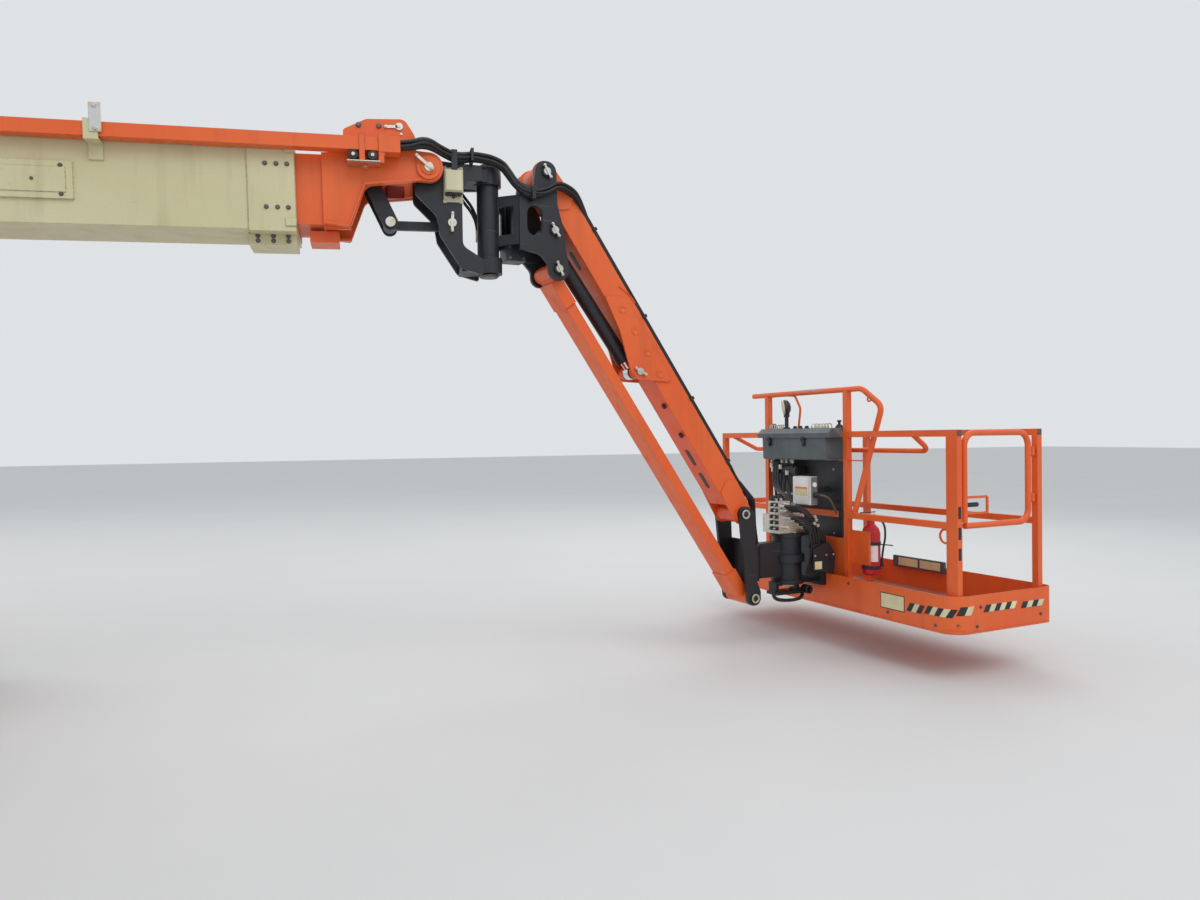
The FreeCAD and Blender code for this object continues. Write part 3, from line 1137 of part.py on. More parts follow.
def make_hoses():
    nose = []
    swing = []
    jib = []
    for i, (out, up) in enumerate(BUNDLE):
        across = (i - 1) * HOSE_STEP
        lift = 5 * (i % 2)
        rail_y = -s.rail_offset - s.rail_side / 2 + across
        nose.append(hose(((-140, rail_y, 84), (-20, rail_y, 106 + lift), (120, -152 + across, 82 + lift),
                               (240, -124 + across, 67), (368, -110 + across, 72)), HOSE_RADIUS, 80))
        swing.append(hose(((84, -126 + out, 18 + up), (144, -174 + out, -100 + up),
                           (262, -170 + out, -98 + up), (372, -168 + out, -14 + up)), HOSE_RADIUS, 75))
        jib.append(hose(((94, -152 + out, 26 + up), (190, -136 + out / 2, 116 + up / 2), (330, -64 + across, 110),
                              (2230, -64 + across, 110)), HOSE_RADIUS, 75))
    node("nose_hoses", nose + [slab(8, 50, 16, (236, -122, 69.5))], NOSE)
    node("swing_hoses", swing + [slab(10, 24, 34, (205, -174.5, -87))], JIB)
    clips = [slab(10, 44, 14, (x, -64, 96 + 14 + s.pin_gap)) for x in (420, 1020, 1620, 2160)]
    node("jib_hoses", jib + clips, UPPER_ARM)
    platform = []
    for i in range(4):
        x = -70 + 34 * i
        down_x = 141 - 21 * i
        z = -50 - 22 * i
        platform.append(hose(((x, -91, z), (x, -150, z), (down_x, -150, z), (down_x + 6, -158, -330),
                              (down_x, -112, -420)), 9, 28))
    for i in range(3):
        y = 430 - 24 * i
        platform.append(hose(((236, y, 325), (200, y - 20, 190), (40 - 20 * i, 90 - 34 * i, 75), (20 - 20 * i, 50 - 34 * i, -23)), 10, 60))
    platform.append(slab(44, 8, 14, (114, -155, -240)))
    platform.append(slab(12, 50, 12, (150, 330, 160)))
    node("platform_hoses", platform, ROTATOR)


make_hoses()

doc.recompute()

# The origin is under the middle of the machine, on the ground
whole = Part.makeCompound([piece.Shape for piece in NODES]).BoundBox
ORIGIN = V((whole.XMin + whole.XMax) / 2, (whole.YMin + whole.YMax) / 2, 0)
for piece in NODES:
    place = piece.Placement
    piece.Placement = FreeCAD.Placement(place.Base - ORIGIN, place.Rotation)
doc.recompute()

for obj in doc.Objects:
    if "Invalid" in obj.State or "Error" in obj.State:
        raise RuntimeError("failed object: %s %s" % (obj.Name, obj.State))
for piece in NODES:
    if piece.Shape.isNull() or not piece.Shape.isValid():
        raise RuntimeError("bad shape: " + piece.Label)

os.makedirs("parts", exist_ok=True)
for piece in NODES:
    piece.Shape.exportStep("parts/%s.step" % piece.Label)
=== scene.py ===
"""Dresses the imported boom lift: paint, rubber and metal for every node, and the small parts on them."""

import json
import math

import bmesh
import bpy
from mathutils import Matrix, Vector


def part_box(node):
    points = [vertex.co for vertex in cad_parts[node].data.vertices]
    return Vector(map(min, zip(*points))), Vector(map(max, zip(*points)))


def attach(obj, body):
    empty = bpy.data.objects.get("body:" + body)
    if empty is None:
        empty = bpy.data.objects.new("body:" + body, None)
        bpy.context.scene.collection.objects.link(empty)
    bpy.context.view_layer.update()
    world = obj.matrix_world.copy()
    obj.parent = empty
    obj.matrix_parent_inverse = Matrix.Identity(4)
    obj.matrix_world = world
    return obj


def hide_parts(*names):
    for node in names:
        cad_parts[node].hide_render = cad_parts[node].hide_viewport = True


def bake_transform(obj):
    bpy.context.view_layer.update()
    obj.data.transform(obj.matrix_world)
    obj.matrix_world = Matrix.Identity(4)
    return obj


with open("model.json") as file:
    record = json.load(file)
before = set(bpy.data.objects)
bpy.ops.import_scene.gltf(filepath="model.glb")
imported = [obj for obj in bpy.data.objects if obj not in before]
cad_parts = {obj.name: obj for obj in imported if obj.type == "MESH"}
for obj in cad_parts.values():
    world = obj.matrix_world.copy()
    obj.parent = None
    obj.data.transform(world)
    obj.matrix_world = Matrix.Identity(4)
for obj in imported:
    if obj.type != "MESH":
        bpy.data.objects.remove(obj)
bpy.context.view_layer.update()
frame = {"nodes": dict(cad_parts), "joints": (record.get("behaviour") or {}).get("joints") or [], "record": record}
NODES = frame["nodes"]
RECORD = frame["record"]
JOINT_AT = {joint["name"]: Vector(joint["pos_m"]) for joint in frame["joints"] if "pos_m" in joint}
JOINT_AXIS = {joint["name"]: Vector(joint["axis"]) for joint in frame["joints"]}


# Camera: the photograph was taken from eye height beside the boom's nose

CAMERA_AHEAD_OF_SWING = -0.712
CAMERA_BESIDE_SWING = -5.061
CAMERA_HEIGHT = 1.451
CAMERA_TURN = math.radians(-15.03)
CAMERA_PITCH = math.radians(-0.91)
CAMERA_ROLL = math.radians(-0.79)
CAMERA_LENS = 26.44


def make_camera():
    data = bpy.data.cameras.new("camera")
    data.lens = CAMERA_LENS
    data.sensor_width = 36
    data.clip_end = 200
    camera = bpy.data.objects.new("camera", data)
    bpy.context.scene.collection.objects.link(camera)
    swing = JOINT_AT["jib_swing"]
    place = Vector((swing.x + CAMERA_AHEAD_OF_SWING, swing.y + CAMERA_BESIDE_SWING, CAMERA_HEIGHT))
    turn = (Matrix.Rotation(CAMERA_TURN, 4, "Z") @ Matrix.Rotation(math.pi / 2 + CAMERA_PITCH, 4, "X")
            @ Matrix.Rotation(CAMERA_ROLL, 4, "Z"))
    camera.matrix_world = Matrix.Translation(place) @ turn
    bpy.context.scene.camera = camera


make_camera()


# Frames: a small part's place is given in metres from the pin that carries it, with X along the part

def frame_along(place, along):
    x = along.normalized()
    y = Vector((0, 0, 1)).cross(x).normalized()
    return Matrix.Translation(place) @ Matrix((x, y, x.cross(y))).transposed().to_4x4()


JIB_AHEAD = Vector((-JOINT_AXIS["jib_lift"].y, JOINT_AXIS["jib_lift"].x, 0))
ARM_ALONG = JOINT_AT["jib_end_level"] - JOINT_AT["jib_lift"]
ROTATOR_REACH = 0.445
POST_REACH = 0.755
FLOOR_DROP = 0.655

MACHINE = Matrix.Translation((JOINT_AT["turntable_slew"].x, JOINT_AT["turntable_slew"].y, 0))
TOWER = frame_along(JOINT_AT["tower_lift"], Vector((-1, 0, 0)))
BOOM = frame_along(JOINT_AT["boom_lift"], JOINT_AXIS["boom_telescope"])
NOSE = Matrix.Translation(JOINT_AT["nose_level"])
JIB = frame_along(JOINT_AT["jib_swing"], JIB_AHEAD)
ARM = frame_along(JOINT_AT["jib_lift"], ARM_ALONG)
LOWER_ARM = frame_along(JOINT_AT["jib_lower_arm_turn"], ARM_ALONG)
JIB_END = frame_along(JOINT_AT["jib_end_level"], JIB_AHEAD)
ROTATOR = JIB_END @ Matrix.Translation((ROTATOR_REACH, 0, 0))
PLATFORM = JIB_END @ Matrix.Translation((POST_REACH, 0, -FLOOR_DROP))


# Materials

class Surface:
    """Builds one material's node tree."""

    edges = None

    def __init__(self, name, colour, roughness, metallic=0.0):
        self.material = bpy.data.materials.new(name)
        self.material.use_nodes = True
        self.tree = self.material.node_tree
        self.shader = self.tree.nodes["Principled BSDF"]
        self.shader.inputs["Base Color"].default_value = (*colour, 1)
        self.shader.inputs["Roughness"].default_value = roughness
        self.shader.inputs["Metallic"].default_value = metallic
        self.material.diffuse_color = (*colour, 1)
        self.place = self.tree.nodes.new("ShaderNodeTexCoord").outputs["Object"]

    def node(self, kind, **settings):
        made = self.tree.nodes.new(kind)
        for key, value in settings.items():
            setattr(made, key, value)
        return made

    def link(self, start, end):
        self.tree.links.new(start, end)

    def stretched(self, stretch):
        mapping = self.node("ShaderNodeMapping")
        mapping.inputs["Scale"].default_value = stretch
        self.link(self.place, mapping.inputs["Vector"])
        return mapping.outputs["Vector"]

    def noise(self, scale, detail=4.0, stretch=(1, 1, 1), roughness=0.55):
        """Noise in the machine's own metres, stretched along an axis for streaks."""
        texture = self.node("ShaderNodeTexNoise")
        texture.inputs["Scale"].default_value = scale
        texture.inputs["Detail"].default_value = detail
        texture.inputs["Roughness"].default_value = roughness
        self.link(self.stretched(stretch), texture.inputs["Vector"])
        return texture.outputs["Fac"]

    def cells(self, scale):
        """Distance to the middle of the nearest cell of an even grid of dots."""
        texture = self.node("ShaderNodeTexVoronoi")
        texture.inputs["Scale"].default_value = scale
        texture.inputs["Randomness"].default_value = 0.0
        self.link(self.place, texture.inputs["Vector"])
        return texture.outputs["Distance"]

    def ramp(self, factor, low, high, start=0.0, end=1.0):
        """A value that goes from start to end as the factor goes from low to high."""
        steps = self.node("ShaderNodeMapRange")
        steps.inputs["From Min"].default_value = low
        steps.inputs["From Max"].default_value = high
        steps.inputs["To Min"].default_value = start
        steps.inputs["To Max"].default_value = end
        self.link(factor, steps.inputs["Value"])
        return steps.outputs["Result"]

    def times(self, first, second):
        product = self.node("ShaderNodeMath", operation="MULTIPLY")
        self.link(first, product.inputs[0])
        self.link(second, product.inputs[1])
        return product.outputs[0]

    def mix(self, factor, first, second):
        """Mixes two colours, each a tuple or a socket."""
        mixer = self.node("ShaderNodeMix", data_type="RGBA")
        self.link(factor, mixer.inputs["Factor"])
        for socket, colour in ((mixer.inputs[6], first), (mixer.inputs[7], second)):
            if isinstance(colour, tuple):
                socket.default_value = (*colour, 1)
            else:
                self.link(colour, socket)
        return mixer.outputs[2]

    def colour(self, socket):
        self.link(socket, self.shader.inputs["Base Color"])

    def roughness(self, socket):
        self.link(socket, self.shader.inputs["Roughness"])

    def bump(self, height, strength, distance):
        """Adds a bump on top of rounded edges."""
        bump = self.node("ShaderNodeBump")
        bump.inputs["Strength"].default_value = strength
        bump.inputs["Distance"].default_value = distance
        self.link(height, bump.inputs["Height"])
        if self.edges:
            self.link(self.edges.outputs["Normal"], bump.inputs["Normal"])
        self.link(bump.outputs["Normal"], self.shader.inputs["Normal"])

    def rounded_edges(self, radius):
        """Shades sharp edges as if they were rounded, and returns how near an edge a point lies."""
        self.edges = self.node("ShaderNodeBevel", samples=4)
        self.edges.inputs["Radius"].default_value = radius
        self.link(self.edges.outputs["Normal"], self.shader.inputs["Normal"])
        geometry = self.node("ShaderNodeNewGeometry")
        dot = self.node("ShaderNodeVectorMath", operation="DOT_PRODUCT")
        self.link(self.edges.outputs["Normal"], dot.inputs[0])
        self.link(geometry.outputs["Normal"], dot.inputs[1])
        return self.ramp(dot.outputs["Value"], 1.0, 0.75)


def painted(name, colour, faded, bare, roughness=0.38, edge=0.004, wear=1.0):
    """Outdoor machine paint: faded patches, rain streaks, grime, scratches and chipped edges."""
    surface = Surface(name, colour, roughness)
    near_edge = surface.rounded_edges(edge)
    patches = surface.ramp(surface.noise(1.3, 5), 0.35, 0.7)
    streaks = surface.ramp(surface.noise(9, 4, (1, 1, 0.12)), 0.54, 0.78, 0, 0.30 * wear)
    grime = surface.ramp(surface.noise(38, 6, roughness=0.7), 0.58, 0.78, 0, 0.22 * wear)
    scratches = surface.ramp(surface.noise(24, 3, (0.15, 0.15, 3.0)), 0.70, 0.73, 0, 0.45 * wear)
    chips = surface.times(near_edge, surface.ramp(surface.noise(60, 5), 0.53, 0.60))
    grimy = tuple(0.32 * value + 0.02 for value in colour)
    base = surface.mix(patches, colour, faded)
    base = surface.mix(streaks, base, grimy)
    base = surface.mix(grime, base, grimy)
    base = surface.mix(scratches, base, tuple(0.6 * value + 0.12 for value in colour))
    surface.colour(surface.mix(chips, base, bare))
    surface.roughness(surface.ramp(surface.noise(14, 4), 0.3, 0.75, roughness - 0.08, roughness + 0.17))
    surface.bump(surface.noise(260, 2), 0.25, 0.0006)
    return surface.material


def rubber(name, colour, dust, roughness=0.82):
    """Rubber that is dusty in patches and finely grained."""
    surface = Surface(name, colour, roughness)
    surface.rounded_edges(0.006)
    dusty = surface.ramp(surface.noise(5, 6, roughness=0.65), 0.42, 0.75, 0, 0.75)
    surface.colour(surface.mix(dusty, colour, dust))
    surface.roughness(surface.ramp(surface.noise(20), 0.3, 0.8, roughness - 0.1, roughness + 0.1))
    surface.bump(surface.noise(140, 5), 0.5, 0.002)
    return surface.material


def casting(name, colour, roughness=0.6):
    return painted(name, colour, tuple(value * 1.5 for value in colour), (0.12, 0.06, 0.035), roughness, 0.012)


def moulded(name, colour, roughness=0.5, grain=420):
    """Moulded plastic with a fine grain, slightly chalky where the sun has reached it."""
    surface = Surface(name, colour, roughness)
    surface.rounded_edges(0.003)
    chalky = tuple(min(1, value * 1.35 + 0.03) for value in colour)
    surface.colour(surface.mix(surface.ramp(surface.noise(6, 6), 0.4, 0.8, 0, 0.8), colour, chalky))
    surface.bump(surface.noise(grain, 2), 0.35, 0.0005)
    return surface.material


def metal(name, colour, roughness, tint=None):
    """Plated or polished metal with fine scratches and a stain where one is given."""
    surface = Surface(name, colour, roughness, 1.0)
    surface.rounded_edges(0.0015)
    stain = tint or tuple(value * 0.7 for value in colour)
    surface.colour(surface.mix(surface.ramp(surface.noise(25, 5), 0.45, 0.7), colour, stain))
    surface.roughness(surface.ramp(surface.noise(90, 4, (1, 8, 1)), 0.3, 0.7, roughness - 0.06, roughness + 0.14))
    surface.bump(surface.noise(300, 3, (1, 10, 1)), 0.15, 0.0003)
    return surface.material


def tread_plate(name, colour, worn):
    """Painted non-slip decking with a small hole at each point of an even grid, scuffed pale where feet go; each hole
    is coloured near-black, as painted shade inside it.
    """
    surface = Surface(name, colour, 0.6)
    surface.rounded_edges(0.003)
    scuffed = surface.ramp(surface.noise(4, 6, roughness=0.7), 0.35, 0.65, 0.15, 0.85)
    spots = surface.ramp(surface.noise(70, 4), 0.55, 0.7, 0, 0.5)
    # Painted shade: the middle of each hole is coloured near-black, standing in for the shade inside it
    hole_shade = surface.ramp(surface.cells(38), 0.26, 0.20)
    base = surface.mix(scuffed, colour, worn)
    base = surface.mix(spots, base, (0.16, 0.10, 0.08))
    surface.colour(surface.mix(hole_shade, base, (0.03, 0.02, 0.02)))
    surface.bump(surface.ramp(surface.cells(38), 0.20, 0.34), 0.6, 0.002)
    return surface.material


ORANGE = (0.78, 0.112, 0.016)
CREAM = (0.60, 0.55, 0.315)
BLACK = (0.009, 0.010, 0.014)

MATERIALS = {
    "orange_paint": painted("orange_paint", ORANGE, (0.82, 0.150, 0.030), (0.16, 0.07, 0.04)),
    "cream_paint": painted("cream_paint", CREAM, (0.66, 0.615, 0.39), (0.20, 0.13, 0.07), 0.42),
    "black_paint": painted("black_paint", BLACK, (0.018, 0.020, 0.026), (0.10, 0.09, 0.08), 0.42),
    "red_paint": painted("red_paint", (0.52, 0.010, 0.018), (0.60, 0.02, 0.03), (0.3, 0.3, 0.3), 0.26, wear=0.4),
    "tyre_rubber": rubber("tyre_rubber", (0.022, 0.022, 0.023), (0.10, 0.09, 0.075)),
    "hose_rubber": rubber("hose_rubber", (0.012, 0.012, 0.013), (0.03, 0.03, 0.03), 0.50),
    "cast_counterweight": casting("cast_counterweight", (0.028, 0.030, 0.034)),
    "engine_iron": casting("engine_iron", (0.06, 0.06, 0.062)),
    "chromed_rod": metal("chromed_rod", (0.78, 0.79, 0.80), 0.12),
    "zinc_plate": metal("zinc_plate", (0.66, 0.66, 0.64), 0.34, (0.62, 0.52, 0.30)),
    "grey_plastic": moulded("grey_plastic", (0.072, 0.090, 0.098)),
    "black_plastic": moulded("black_plastic", (0.013, 0.014, 0.018), 0.45),
    "cream_plastic": moulded("cream_plastic", (0.56, 0.53, 0.36), 0.45),
    "light_box": moulded("light_box", (0.62, 0.61, 0.55), 0.5),
}
DECKING = tread_plate("decking", (0.42, 0.10, 0.05), (0.36, 0.20, 0.17))
LID_GREY = moulded("lid_grey", (0.125, 0.148, 0.152), 0.42)
LABEL_CREAM = moulded("label_cream", (0.66, 0.60, 0.36), 0.35, 900)
LABEL_WHITE = moulded("label_white", (0.78, 0.78, 0.76), 0.35, 900)
LABEL_ORANGE = moulded("label_orange", (0.75, 0.22, 0.04), 0.35, 900)
STEEL_DARK = metal("steel_dark", (0.17, 0.16, 0.155), 0.45)
CABLE_BROWN = rubber("cable_brown", (0.13, 0.095, 0.045), (0.17, 0.14, 0.09), 0.5)
DARK_RED = painted("dark_red", (0.22, 0.012, 0.010), (0.28, 0.02, 0.02), (0.08, 0.05, 0.04))

SLOT_OF = {part["node"]: part["material_slot"] for part in RECORD["subparts"]}
for name, node in NODES.items():
    node.data.materials.clear()
    node.data.materials.append(MATERIALS[SLOT_OF[name]])


def finish_where(node_name, material, wanted):
    """Gives a second material to the faces of a CAD node whose middle and normal are wanted."""
    mesh = NODES[node_name].data
    mesh.materials.append(material)
    for face in mesh.polygons:
        if wanted(face.center, face.normal):
            face.material_index = 1


to_platform = PLATFORM.inverted()
finish_where("platform_floor", DECKING, lambda middle, normal: normal.z > 0.9 and (to_platform @ middle).z < 0.06)
finish_where("control_console", LID_GREY, lambda middle, normal: (to_platform @ middle).z > 1.165)


# Floor and light: a pale floor under an overcast sky

def make_stage():
    floor_mesh = bpy.data.meshes.new("floor")
    half = 60
    floor_mesh.from_pydata([(-half, -half, 0), (half, -half, 0), (half, half, 0), (-half, half, 0)], [], [(0, 1, 2, 3)])
    floor = bpy.data.objects.new("floor", floor_mesh)
    bpy.context.scene.collection.objects.link(floor)
    surface = Surface("floor", (0.66, 0.66, 0.65), 0.85)
    surface.colour(surface.mix(surface.noise(0.7, 4), (0.64, 0.64, 0.63), (0.69, 0.69, 0.68)))
    floor_mesh.materials.append(surface.material)

    world = bpy.data.worlds.new("sky")
    world.use_nodes = True
    nodes, links = world.node_tree.nodes, world.node_tree.links
    sky_light = nodes["Background"]
    sky_light.inputs["Color"].default_value = (0.88, 0.91, 0.95, 1)
    sky_light.inputs["Strength"].default_value = 0.82
    backdrop = nodes.new("ShaderNodeBackground")
    backdrop.inputs["Color"].default_value = (0.74, 0.76, 0.78, 1)
    seen = nodes.new("ShaderNodeMixShader")
    links.new(nodes.new("ShaderNodeLightPath").outputs["Is Camera Ray"], seen.inputs["Fac"])
    links.new(sky_light.outputs[0], seen.inputs[1])
    links.new(backdrop.outputs[0], seen.inputs[2])
    links.new(seen.outputs[0], nodes["World Output"].inputs["Surface"])
    bpy.context.scene.world = world

    middle = Vector((0, -0.27, 0))
    for name, place, size, watts in (("key", (5, -9, 11), 9, 480), ("fill", (9, 6, 8), 8, 220), ("back", (-8, 7, 9), 8, 260)):
        data = bpy.data.lights.new(name, "AREA")
        data.shape = "DISK"
        data.size = size
        data.energy = watts
        light = bpy.data.objects.new(name, data)
        bpy.context.scene.collection.objects.link(light)
        light.location = place
        light.rotation_euler = (middle - Vector(place)).to_track_quat("-Z", "Y").to_euler()
    bpy.context.scene.view_settings.view_transform = "Standard"


make_stage()


# Shapes: each is a small mesh about its own origin, with Z out of the face that it sits on

ROUND = 28


def block(across, up, out, bevel=0.0015):
    """A box with softened edges that stands on its face."""
    shape = bmesh.new()
    bmesh.ops.create_cube(shape, size=1, matrix=Matrix.Translation((0, 0, out / 2)) @ Matrix.Diagonal((across, up, out, 1)))
    if bevel:
        bmesh.ops.bevel(shape, geom=shape.edges[:], offset=min(bevel, 0.3 * min(across, up, out)), segments=2, affect="EDGES")
    return shape


def turned(profile, sides=ROUND, closed=False):
    """A shape turned about Z from (radius, height) pairs."""
    shape = bmesh.new()
    rows = []
    for radius, height in profile:
        count = sides if radius else 1
        turns = [2 * math.pi * i / count for i in range(count)]
        rows.append([shape.verts.new((radius * math.cos(t), radius * math.sin(t), height)) for t in turns])
    pairs = list(zip(rows, rows[1:] + rows[:1]))
    for low, high in pairs if closed else pairs[:-1]:
        for i in range(sides):
            j = (i + 1) % sides
            corners = [low[i % len(low)], low[j % len(low)], high[j % len(high)], high[i % len(high)]]
            corners = list(dict.fromkeys(corners))
            if len(corners) > 2:
                shape.faces.new(corners)
    bmesh.ops.recalc_face_normals(shape, faces=shape.faces)
    return shape


def disc(radius, height, chamfer=0.0015, sides=ROUND):
    chamfer = min(chamfer, 0.4 * height)
    return turned(((0, 0), (radius, 0), (radius, height - chamfer), (radius - chamfer, height), (0, height)), sides)


def ring(outer, inner, height):
    soft = 0.25 * min(height, outer - inner)
    return turned(((inner, 0), (outer, 0), (outer, height - soft), (outer - soft, height), (inner + soft, height),
                   (inner, height - soft)), closed=True)


def sheet_metal(outline, thickness):
    """A flat plate from its outline."""
    shape = bmesh.new()
    face = shape.faces.new([shape.verts.new((x, y, 0)) for x, y in outline])
    made = bmesh.ops.extrude_face_region(shape, geom=[face])
    bmesh.ops.translate(shape, verts=[v for v in made["geom"] if isinstance(v, bmesh.types.BMVert)], vec=(0, 0, thickness))
    bmesh.ops.recalc_face_normals(shape, faces=shape.faces)
    return shape


def bar_outline(length, width, steps=8):
    """A bar with round ends, lying along X about its middle."""
    half, radius = length / 2 - width / 2, width / 2
    outline = []
    for end, start in ((1, -math.pi / 2), (-1, math.pi / 2)):
        for i in range(steps + 1):
            turn = start + math.pi * i / steps
            outline.append((end * half + radius * math.cos(turn), radius * math.sin(turn)))
    return outline


FACES = {
    "x": ((0, 1, 0), (0, 0, 1)), "-x": ((0, -1, 0), (0, 0, 1)),
    "y": ((-1, 0, 0), (0, 0, 1)), "-y": ((1, 0, 0), (0, 0, 1)),
    "z": ((1, 0, 0), (0, 1, 0)), "-z": ((1, 0, 0), (0, -1, 0)),
}


def on_face(at, face, turn=0.0):
    """The place of a shape that sits at a point of a face: X goes right and Y up, as someone sees that face."""
    across, up = (Vector(v) for v in FACES[face])
    basis = Matrix((across, up, across.cross(up))).transposed().to_4x4()
    return Matrix.Translation(at) @ basis @ Matrix.Rotation(turn, 4, "Z")


PIECES = {}


class Piece:
    """Small shapes of one finish on one body, gathered into one mesh."""

    def __init__(self, name, body, place, slot, material=None):
        self.name, self.body, self.place, self.slot = name, body, place, slot
        self.material = material or MATERIALS[slot]
        self.mesh = bmesh.new()
        self.replaced = ()
        self.bends = None
        PIECES[name] = self

    def take(self, shape, place):
        shape.transform(self.place @ place)
        self.add(shape)

    def add(self, shape):
        mesh = bpy.data.meshes.new("shape")
        shape.to_mesh(mesh)
        shape.free()
        self.mesh.from_mesh(mesh)
        bpy.data.meshes.remove(mesh)

    def put(self, shape, at, face="z", turn=0.0):
        self.take(shape, on_face(at, face, turn))

    def bolt(self, at, face, size=0.008):
        """A hexagon head on its washer."""
        self.put(disc(1.25 * size, 0.18 * size), at, face)
        head = turned(((0, 0), (size, 0), (size, 0.75 * size), (0.86 * size, 0.95 * size), (0, 0.95 * size)), 6)
        self.put(head, at, face, 0.4)

    def tube(self, points, radius, sides=3):
        """A round tube or hose along the smooth line that the points control."""
        curve = bpy.data.curves.new("line", "CURVE")
        curve.dimensions = "3D"
        spline = curve.splines.new("NURBS")
        spline.points.add(len(points) - 1)
        for point, place in zip(spline.points, points):
            where = place if isinstance(place, Vector) else self.place @ Vector(place)
            point.co = (*where, 1)
        spline.order_u = 3
        spline.use_endpoint_u = True
        spline.resolution_u = 10
        curve.bevel_depth = radius
        curve.bevel_resolution = sides
        curve.use_fill_caps = True
        holder = bpy.data.objects.new("line", curve)
        mesh = bpy.data.meshes.new_from_object(holder)
        self.mesh.from_mesh(mesh)
        bpy.data.meshes.remove(mesh)
        bpy.data.objects.remove(holder)
        bpy.data.curves.remove(curve)

    def finish(self):
        mesh = bpy.data.meshes.new(self.name)
        bmesh.ops.triangulate(self.mesh, faces=[face for face in self.mesh.faces if len(face.verts) > 4])
        self.mesh.to_mesh(mesh)
        self.mesh.free()
        mesh.materials.append(self.material)
        mesh.shade_smooth()
        mesh.set_sharp_from_angle(angle=math.radians(35))
        piece = bpy.data.objects.new(self.name, mesh)
        bpy.context.scene.collection.objects.link(piece)
        if self.bends:
            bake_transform(piece)
        else:
            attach(piece, self.body)
        if self.replaced:
            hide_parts(*self.replaced)


def pin_head(piece, x, z, out, radius=0.025, face="-y"):
    side = -1 if face == "-y" else 1
    piece.put(disc(radius, 0.008, 0.002), (x, side * out, z), face)
    piece.put(ring(0.45 * radius, 0.3 * radius, 0.0095), (x, side * out, z), face)


def keeper(piece, x, z, out, length, angle, width=0.016, face="-y"):
    """A retaining bar across a pin's end, with a bolt at each end."""
    side = -1 if face == "-y" else 1
    tilt = math.radians(angle)
    if side > 0:
        tilt = math.pi - tilt
    piece.put(sheet_metal(bar_outline(length, width), 0.006), (x, side * (out + 0.008), z), face, tilt)
    for end in (-1, 1):
        reach = end * (length / 2 - width / 2)
        bolt_x, bolt_z = x + reach * math.cos(math.radians(angle)), z + reach * math.sin(math.radians(angle))
        piece.put(disc(0.45 * width, 0.030), (bolt_x, side * (out - 0.022), bolt_z), face)
        piece.bolt((bolt_x, side * (out + 0.014), bolt_z), face, 0.0072)


BOTH_SIDES = (("-y", -1), ("y", 1))


# Boom: guide clip, cover, wear-pad bolts and the hose rail's rollers

def dress_boom():
    bolts = Piece("boom_base_bolts", "boom_base", BOOM, "zinc_plate", STEEL_DARK)
    trim = Piece("boom_base_trim", "boom_base", BOOM, "cream_paint")
    clip = Piece("rail_guide_clip", "boom_base", BOOM, "zinc_plate")
    clip.put(block(0.055, 0.142, 0.006, 0.002), (6.865, -0.292, 0.271), "-y")
    for z in (0.327, 0.215):
        clip.bolt((6.864, -0.298, z), "-y", 0.010)
    for face, side in BOTH_SIDES:
        for x in (7.623, 7.678, 7.731):
            for z in (-0.112, 0.112):
                bolts.bolt((x, side * 0.210, z), face, 0.010)
        for x in (7.568, 7.645, 7.720):
            for z in (-0.242, -0.268):
                bolts.bolt((x, side * 0.120, z), face, 0.010)
        for z in (-0.188, 0.188):
            trim.put(block(0.055, 0.042, 0.008), (7.742, side * 0.210, z), face)
        trim.put(block(0.006, 0.450, 0.003), (7.533, side * 0.2005, 0), face)
    for x, z in ((6.684, 0.055), (6.684, -0.085), (6.559, -0.015), (6.128, 0.055), (6.128, -0.085), (6.253, -0.015)):
        bolts.bolt((x, -0.214, z), "-y", 0.009)
    trim.put(block(0.600, 0.124, 0.004, 0.003), (6.406, -0.214, -0.015), "-y")

    fly = Piece("boom_fly_bolts", "boom_fly", BOOM, "zinc_plate", STEEL_DARK)
    straps = Piece("rail_straps", "boom_fly", BOOM, "orange_paint")
    rollers = Piece("rail_rollers", "boom_fly", BOOM, "black_plastic")
    plate = Piece("rail_roller_plate", "boom_fly", BOOM, "zinc_plate")
    for x in (8.065, 8.163):
        rollers.put(disc(0.024, 0.070, 0.004), (x, -0.284, 0.158), "y")
        plate.put(disc(0.009, 0.090), (x, -0.292, 0.158), "y")
        straps.put(block(0.030, 0.150, 0.005), (x + 0.045, -0.283, 0.192), "-y")
        straps.put(block(0.030, 0.076, 0.005), (x + 0.045, -0.247, 0.254), "z")
    plate.put(block(0.170, 0.105, 0.006), (8.117, -0.240, 0.122), "z")
    for x in (8.097, 8.202):
        fly.bolt((x, -0.194, 0.341), "-y", 0.012)
    straps.put(block(0.030, 0.118, 0.005), (8.212, -0.2825, 0.215), "-y")

    pins = Piece("nose_pin_ends", "boom_fly", NOSE, "zinc_plate")
    for face, side in BOTH_SIDES:
        pin_head(pins, 0, 0, 0.205, face=face)
        keeper(pins, -0.024, 0.021, 0.205, 0.122, -40, face=face)
        pin_head(pins, -0.333, -0.002, 0.190, 0.020, face)
    pin_head(pins, -0.153, 0.205, 0.194, 0.021)
    keeper(pins, -0.190, 0.202, 0.188, 0.084, 4, 0.015)
    for x, z in ((-0.142, 0.166), (-0.261, 0.197)):
        pins.bolt((x, -0.194, z), "-y", 0.007)
    lug = Piece("nose_stop_block", "boom_fly", NOSE, "red_paint", DARK_RED)
    lug.put(block(0.100, 0.070, 0.028, 0.004), (-0.165, 0.148, -0.058), "-y")


# Nose: pins, junction box, strap, and the swing column's bearings

